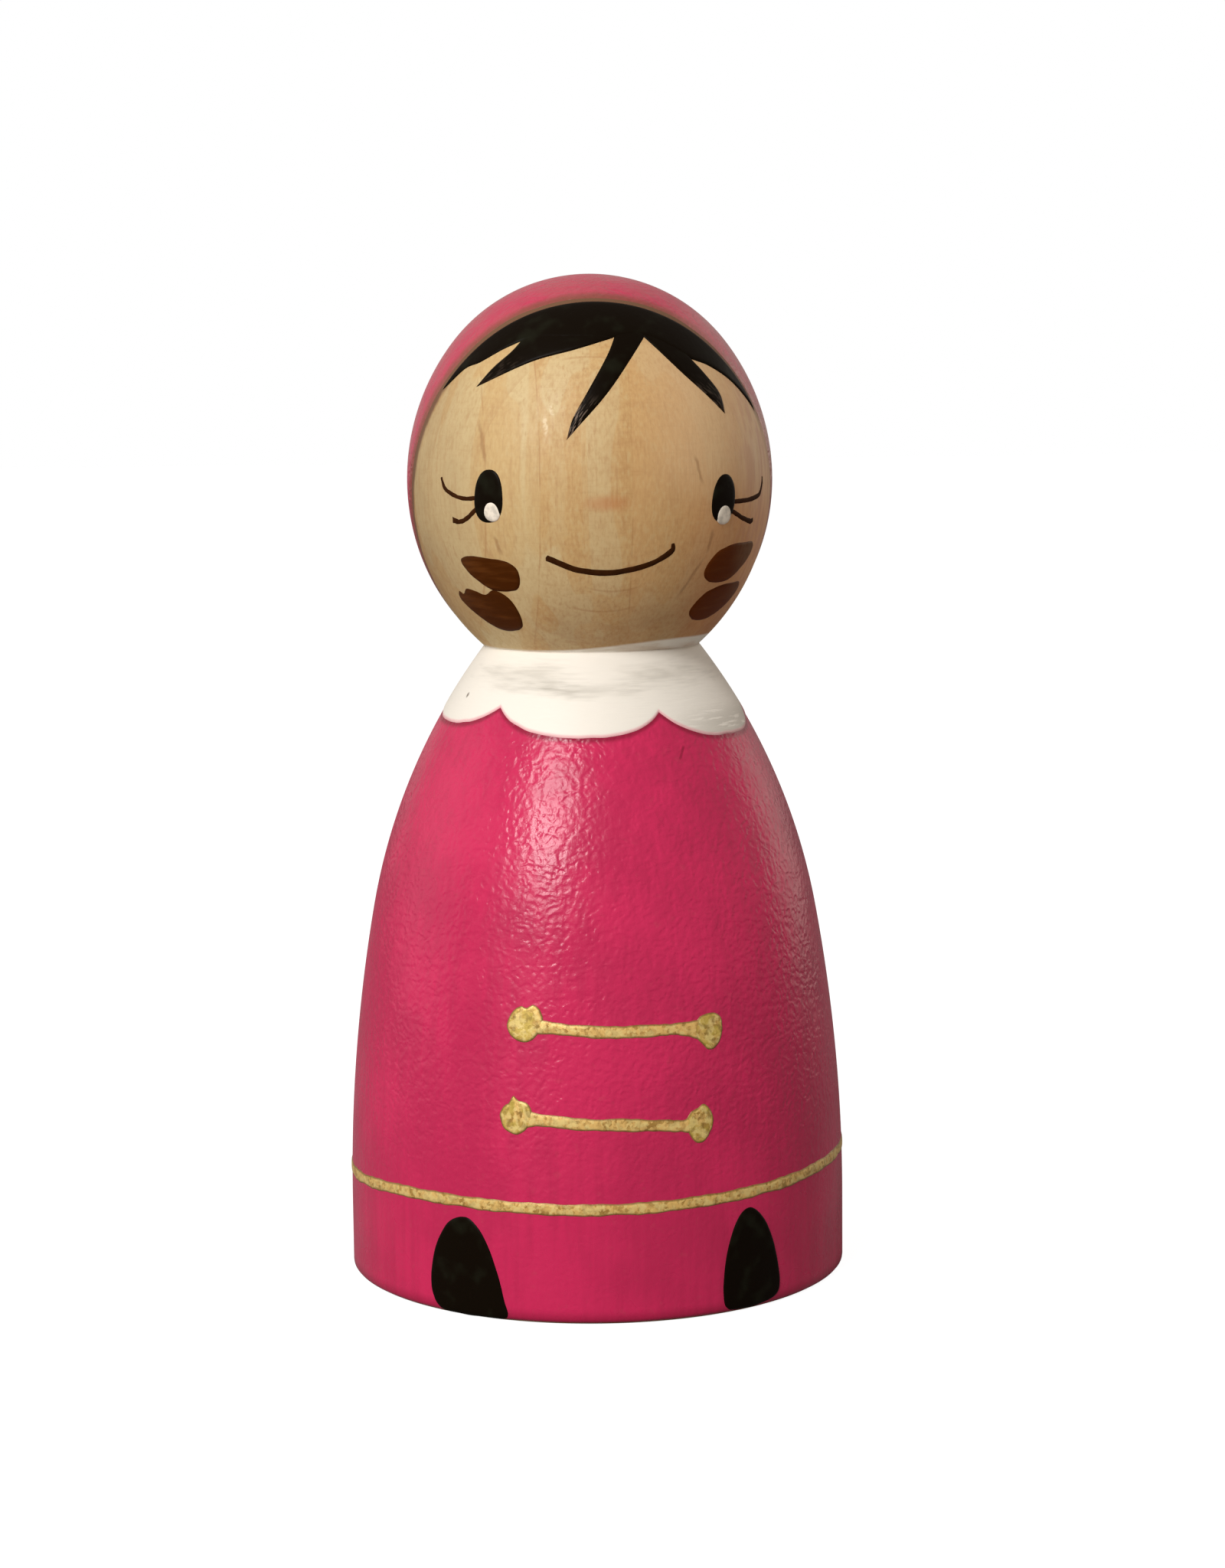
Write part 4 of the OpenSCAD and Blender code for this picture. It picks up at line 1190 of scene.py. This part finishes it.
class DOLL_OT_lines(PieceOperator, bpy.types.Operator):
    """Draw the lashes and the smile with a fine pen"""

    bl_idname = "doll.lines"
    bl_label = "Lashes and smile"

    def execute(self, context):
        sizes, colours, _, surface = settings()
        ink = plain_finish("brown_ink", colours.ink, roughness=0.6, specular=0.04)
        for name, (path, widths) in PEN_LINES.items():
            edges = stroke_edges(surface, path, widths, head=True, count=90, unsteady=0.02, seed=len(name))
            rings, marks = film(surface, *edges, 0, INK_SHARE * sizes.top_film, head=True, columns=8)
            closed_piece(f"{name}_line", rings, [name], ink, marks)
        return {"FINISHED"}


# Outlines through azimuths and heights in mm
CHEEK_MARKS = {
    "left_upper_mark": [
        (-55.0, 57.95), (-51, 58.3), (-46, 58.25), (-41, 58.15), (-36.0, 57.98), (-32.3, 57.42),
        (-31.6, 56.55), (-33.6, 55.75), (-38.8, 55.56), (-44.2, 55.68), (-48.9, 56.24), (-53.1, 57.02),
    ],
    "left_lower_mark": [
        (-64.9, 54.95), (-63.0, 55.42), (-60.8, 55.22), (-57.5, 55.66), (-52.5, 55.5), (-48.7, 55.26),
        (-43.7, 55.64), (-38.4, 55.05), (-35.9, 53.9), (-36.4, 52.93), (-39.0, 52.48), (-42.6, 52.35),
        (-46.8, 52.32), (-51.3, 52.55), (-55.8, 53.0), (-60.0, 53.65), (-63.3, 54.3),
    ],
    "right_upper_mark": [
        (62.0, 58.6), (60.8, 57.8), (57.8, 57.1), (53.4, 56.35), (48.5, 56.0), (43, 55.95), (38.5, 56.1),
        (35.6, 56.7), (36.0, 57.5), (39.3, 58.35), (44.2, 58.8), (49.5, 59.0), (55.5, 59.0), (60, 58.98),
    ],
    "right_lower_mark": [
        (63.9, 55.35), (62.4, 54.55), (58.2, 53.75), (53.2, 53.2), (47.6, 52.95), (42.6, 52.95),
        (38.6, 53.12), (35.6, 53.7), (36.6, 54.45), (39.9, 55.15), (44.8, 55.55), (50.4, 55.78),
        (57, 55.82), (61.5, 55.8),
    ],
}
# How far the marks of each cheek fade out
MARK_FADES = {"left": 0.15, "right": 0.85}


class DOLL_OT_cheek_marks(PieceOperator, bpy.types.Operator):
    """Brush the four brown marks on the cheeks"""

    bl_idname = "doll.cheek_marks"
    bl_label = "Cheek marks"

    def execute(self, context):
        sizes, colours, _, surface = settings()
        browns = {
            side: mark_finish(f"brown_marks_{side}", colours, fade) for side, fade in MARK_FADES.items()
        }
        for name, points in CHEEK_MARKS.items():
            outline = drawn(points, 130, unsteady=0.03, seed=len(name))
            rings, marks = patch(surface, outline, 0, MARK_SHARE * sizes.top_film, head=True)
            closed_piece(f"{name}_paint", rings, [name], browns[name.split("_")[0]], marks)
        return {"FINISHED"}


# Each toggle: the path of its bar, then the middle and the outline of each knob, in mm from that middle
TOGGLES = {
    "upper_toggle": (
        [(-23.2, 22.95), (-18.5, 22.9), (-9, 22.62), (0, 22.52), (9, 22.55), (14, 22.5), (20.3, 22.25)],
        {
            "left_knob": ((-23.2, 23.15), [
                (-1.48, -0.2), (-1.08, 0.8), (-0.42, 1.28), (0.05, 1.18), (0.6, 1.4), (1.1, 1.1),
                (1.35, 0.4), (1.15, -0.5), (0.6, -1.2), (-0.15, -1.45), (-0.98, -1.12),
            ]),
            "right_knob": ((20.3, 22.2), [
                (-1.25, 0.25), (-0.8, 1.05), (0.3, 1.35), (1.05, 0.95), (1.18, 0.1), (0.9, -0.75),
                (0.4, -1.35), (-0.2, -1.4), (-0.8, -0.85), (-1.2, -0.35),
            ]),
        },
    ),
    "lower_toggle": (
        [(-24.6, 15.95), (-19, 15.85), (-9, 15.58), (0, 15.48), (8, 15.3), (13, 15.15), (16.6, 15.2)],
        {
            "left_knob": ((-24.7, 16.1), [
                (-1.4, -0.1), (-1.15, 0.65), (-0.65, 1.0), (-0.35, 1.5), (0.1, 1.2), (0.8, 0.98),
                (1.2, 0.2), (0.9, -0.8), (0.05, -1.42), (-1.0, -1.05),
            ]),
            "right_knob": ((16.7, 15.2), [
                (-1.15, 0.1), (-0.75, 0.9), (-0.2, 1.2), (0.35, 1.48), (0.85, 1.1), (1.15, 0.3),
                (0.95, -0.6), (0.3, -1.35), (-0.35, -1.4), (-0.9, -0.75),
            ]),
        },
    ),
}
BAR_WIDTHS = (1.5, 1.0, 0.92, 0.98, 0.9, 1.02, 2.0)


class DOLL_OT_toggles(PieceOperator, bpy.types.Operator):
    """Paint the two gold toggles: a bar with a knob at each end"""

    bl_idname = "doll.toggles"
    bl_label = "Toggles"

    def execute(self, context):
        sizes, colours, _, surface = settings()
        base, thick = sizes.coat_film, sizes.top_film
        bar_gold = gold_finish("gold_bars", colours, olive=0.0)
        knob_gold = gold_finish("gold_knobs", colours, olive=0.75)
        for seed, (name, (path, knobs)) in enumerate(TOGGLES.items()):
            edges = stroke_edges(
                surface, path, BAR_WIDTHS, head=False, count=130, unsteady=0.055, seed=3 * seed
            )
            rings, marks = film(surface, *edges, base, GOLD_SHARE * thick, head=False, columns=12)
            closed_piece(f"{name}_bar", rings, [name], bar_gold, marks)
            for part, ((azimuth, z), points) in knobs.items():
                per_degree = math.radians(1) * float(surface.section(z * MM, head=False)[0]) / MM
                points = np.array(points) / (per_degree, 1) + (azimuth, z)
                outline = drawn(points, 90, unsteady=0.03, seed=11 * seed + len(part))
                rings, marks = patch(surface, outline, base, thick, head=False)
                closed_piece(f"{name}_{part}", rings, [name], knob_gold, marks)
        return {"FINISHED"}


# Azimuths and heights in mm that the line runs through, and half its width
HEM = [
    (-180, 9.15), (-120, 8.5), (-81, 8.3), (-58, 9.0), (-42, 9.1), (-26, 9.06), (-7, 8.98), (8, 9.1),
    (28, 9.33), (44, 9.52), (60, 9.85), (100, 9.9), (140, 9.5), (180, 9.15),
]
HEM_HALF = 0.46


class DOLL_OT_hem(PieceOperator, bpy.types.Operator):
    """Paint the gold line round the hem"""

    bl_idname = "doll.hem"
    bl_label = "Hem line"

    def execute(self, context):
        sizes, colours, _, surface = settings()
        around, rows, blur = 900, 11, 30
        azimuth = np.linspace(-180, 180, around, endpoint=False)
        middle = np.interp(azimuth, *np.transpose(HEM))
        ring = np.concatenate([middle[-blur:], middle, middle[:blur]])
        soft = np.convolve(ring, np.ones(2 * blur + 1) / (2 * blur + 1), "valid")
        half = HEM_HALF + wobble(around, amount=0.06, waves=60, seed=31, closed=True)
        low, high = soft - half + wobble(around, amount=0.05, waves=40, seed=33, closed=True), soft + half
        across = (1 - np.cos(np.linspace(0, math.pi, rows))) / 2
        z = (low + (high - low) * across[:, None]) * MM
        distance, base = np.minimum(z - z[0], z[-1] - z), sizes.coat_film
        lift = base + GOLD_SHARE * sizes.top_film * risen(distance)
        back = slice(None, None, -5)
        rings, marks = shell(
            surface, grid(azimuth, rows), z, lift, base, head=False, back=back, rim=distance / MM
        )
        gold = gold_finish("gold_line", colours, olive=0.1)
        closed_piece("hem_line_paint", rings, ["hem_line"], gold, marks, looped=True)
        return {"FINISHED"}


# Outlines through azimuths and heights in mm
BOOTS = {
    "left_boot": [
        (-37.6, 7.9), (-34.6, 7.35), (-31.6, 5.8), (-29.3, 3.6), (-27.9, 1.6), (-27.4, 0.35), (-33, 0.25),
        (-39, 0.22), (-44.4, 0.4), (-46.7, 1.5), (-46.9, 3.3), (-45.3, 5.4), (-41.8, 7.3),
    ],
    "right_boot": [
        (29.0, 8.15), (32.2, 7.4), (35.1, 5.8), (37.1, 3.6), (37.9, 1.6), (36.6, 0.7), (31.5, 0.35),
        (26, 0.3), (22.7, 0.5), (21.8, 1.6), (22.1, 3.7), (23.7, 6.0), (26.2, 7.65),
    ],
}


class DOLL_OT_boots(PieceOperator, bpy.types.Operator):
    """Paint the two black boots over the coat"""

    bl_idname = "doll.boots"
    bl_label = "Boots"

    def execute(self, context):
        sizes, colours, _, surface = settings()
        black = black_finish("black_boots", colours, streaky=False)
        for name, points in BOOTS.items():
            outline = drawn(points, 150, unsteady=0.02, seed=len(name))
            rings, marks = patch(surface, outline, sizes.coat_film, sizes.top_film, head=False, rows=22)
            closed_piece(f"{name}_paint", rings, [name], black, marks)
        return {"FINISHED"}


# Stage

FLOOR_HALF = 3.0
# How far the room is warmer than white, except to the lens
ROOM_TINT = (1, 0.92, 0.84)
WHITE = (1, 1, 1)
# Each lamp: side and rise in degrees seen from the doll, distance, width and height in metres, colour
LAMPS = {
    "window": (-36, 34, 0.6, 0.17, 0.3, WHITE),
    "left_fill": (-46, 4, 0.6, 0.24, 0.45, WHITE),
    "left_card": (-100, 12, 0.5, 0.35, 0.5, WHITE),
    "right_card": (118, 6, 0.6, 0.3, 0.4, (1, 0.86, 0.74)),
}
# Height, focal length and sideways shift of the photograph in its pixels, and the film's height in mm
PICTURE_HEIGHT, FOCAL_PIXELS, SHIFT_PIXELS, FILM_HEIGHT = 2048, 4141, 25.4, 36


def level_place(side, reach, z):
    """The point at a reach from the axis and a height, at a side seen from the doll."""
    return Vector((reach * math.sin(side), -reach * math.cos(side), z))


def lay_floor(stage):
    """A floor that the lens sees white where nothing shades it, and that throws back a quiet grey."""
    x = FLOOR_HALF
    mesh = bpy.data.meshes.new("floor")
    mesh.from_pydata([(-x, -x, 0), (x, -x, 0), (x, x, 0), (-x, x, 0)], [], [(0, 1, 2, 3)])
    floor = bpy.data.objects.new("floor", mesh)
    bpy.context.scene.collection.objects.link(floor)
    pale = bpy.data.materials.new("white_floor")
    web = Web(pale)
    seen = web.node("ShaderNodeLightPath", {}, {}, "Is Camera Ray")
    plain = web.node("ShaderNodeBsdfDiffuse", {}, {"Color": [stage.floor_tone] * 3})
    glow = web.node("ShaderNodeEmission", {}, {"Strength": seen * stage.floor_glow})
    web.show("ShaderNodeOutputMaterial", web.node("ShaderNodeAddShader", {}, {0: plain, 1: glow}))
    mesh.materials.append(pale)


def light_room(stage):
    """A room that the lens sees white, a reflection sees pale, and all else quieter."""
    room = bpy.data.worlds.new("white_room")
    web = Web(room)
    mirrored, seen = (
        web.node("ShaderNodeLightPath", {}, {}, ray) for ray in ("Is Glossy Ray", "Is Camera Ray")
    )
    strength = mirrored * (stage.room_gloss - stage.room_light) + stage.room_light
    strength = strength + seen * (1.0 - strength)
    sockets = {"Color": web.mix(seen, ROOM_TINT, WHITE), "Strength": strength}
    web.show("ShaderNodeOutputWorld", web.node("ShaderNodeBackground", {}, sockets))
    bpy.context.scene.world = room


def hang_lamps(stage, middle):
    """The window and the pale cards beside it, each turned towards the middle of the doll."""
    for name, (side, rise, far, width, height, shade) in LAMPS.items():
        lift = math.radians(rise)
        place = level_place(math.radians(side), far * math.cos(lift), middle.z + far * math.sin(lift))
        data = bpy.data.lights.new(name, "AREA")
        data.shape, data.size, data.size_y, data.color = "RECTANGLE", width, height, shade
        data.energy = getattr(stage, f"{name}_power")
        lamp = bpy.data.objects.new(name, data)
        lamp.location = place
        lamp.rotation_euler = (middle - place).to_track_quat("-Z", "Y").to_euler()
        bpy.context.scene.collection.objects.link(lamp)


def set_camera(stage):
    """The camera where the photograph was taken from."""
    data = bpy.data.cameras.new("camera")
    data.sensor_fit, data.sensor_height = "VERTICAL", FILM_HEIGHT
    data.lens = FOCAL_PIXELS / PICTURE_HEIGHT * FILM_HEIGHT
    data.shift_x = SHIFT_PIXELS / PICTURE_HEIGHT
    data.clip_start, data.clip_end = 0.01, 20
    camera = bpy.data.objects.new("camera", data)
    ahead = -level_place(-stage.turn, math.cos(stage.dip), math.sin(stage.dip))
    right = level_place(math.pi / 2 - stage.turn, 1, 0)
    facing = Matrix((right, right.cross(ahead), -ahead)).transposed() @ Matrix.Rotation(stage.roll, 3, "Z")
    place = level_place(-stage.turn, stage.distance, stage.height)
    camera.matrix_world = Matrix.Translation(place) @ facing.to_4x4()
    bpy.context.scene.collection.objects.link(camera)
    bpy.context.scene.camera = camera


class DOLL_OT_stage(PieceOperator, bpy.types.Operator):
    """Set the white floor, the window light and the camera"""

    bl_idname = "doll.stage"
    bl_label = "Stage"

    def execute(self, context):
        _, _, stage, surface = settings()
        context.scene.view_settings.view_transform = "Standard"
        lay_floor(stage)
        light_room(stage)
        hang_lamps(stage, Vector((0, 0, surface.crown_z / 2)))
        set_camera(stage)
        return {"FINISHED"}


STEPS = (
    DOLL_OT_wood, DOLL_OT_coat, DOLL_OT_collar, DOLL_OT_hood, DOLL_OT_hair, DOLL_OT_eyes, DOLL_OT_lines,
    DOLL_OT_cheek_marks, DOLL_OT_toggles, DOLL_OT_hem, DOLL_OT_boots, DOLL_OT_stage
)


class DOLL_PT_build(bpy.types.Panel):
    """The doll's pieces, sizes and colours"""

    bl_idname = "DOLL_PT_build"
    bl_label = "Peg doll"
    bl_space_type = "VIEW_3D"
    bl_region_type = "UI"
    bl_category = "Peg doll"

    def draw(self, context):
        for step in STEPS:
            self.layout.operator(step.bl_idname)
        for group in (context.scene.doll_sizes, context.scene.doll_colours, context.scene.doll_stage):
            for name in group.__annotations__:
                self.layout.prop(group, name)


GROUPS = {"doll_sizes": DollSizes, "doll_colours": DollColours, "doll_stage": DollStage}


def register():
    for kind in (*GROUPS.values(), *STEPS, DOLL_PT_build):
        bpy.utils.register_class(kind)
    for name, group in GROUPS.items():
        setattr(bpy.types.Scene, name, bpy.props.PointerProperty(type=group))


def unregister():
    for name in GROUPS:
        delattr(bpy.types.Scene, name)
    for kind in (DOLL_PT_build, *reversed(STEPS), *reversed(GROUPS.values())):
        bpy.utils.unregister_class(kind)


def main():
    """Registers the add-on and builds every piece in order."""
    register()
    for step in STEPS:
        group, name = step.bl_idname.split(".")
        if getattr(getattr(bpy.ops, group), name)() != {"FINISHED"}:
            raise RuntimeError(f"{step.bl_label} wasn't built")


if __name__ == "__main__":
    main()
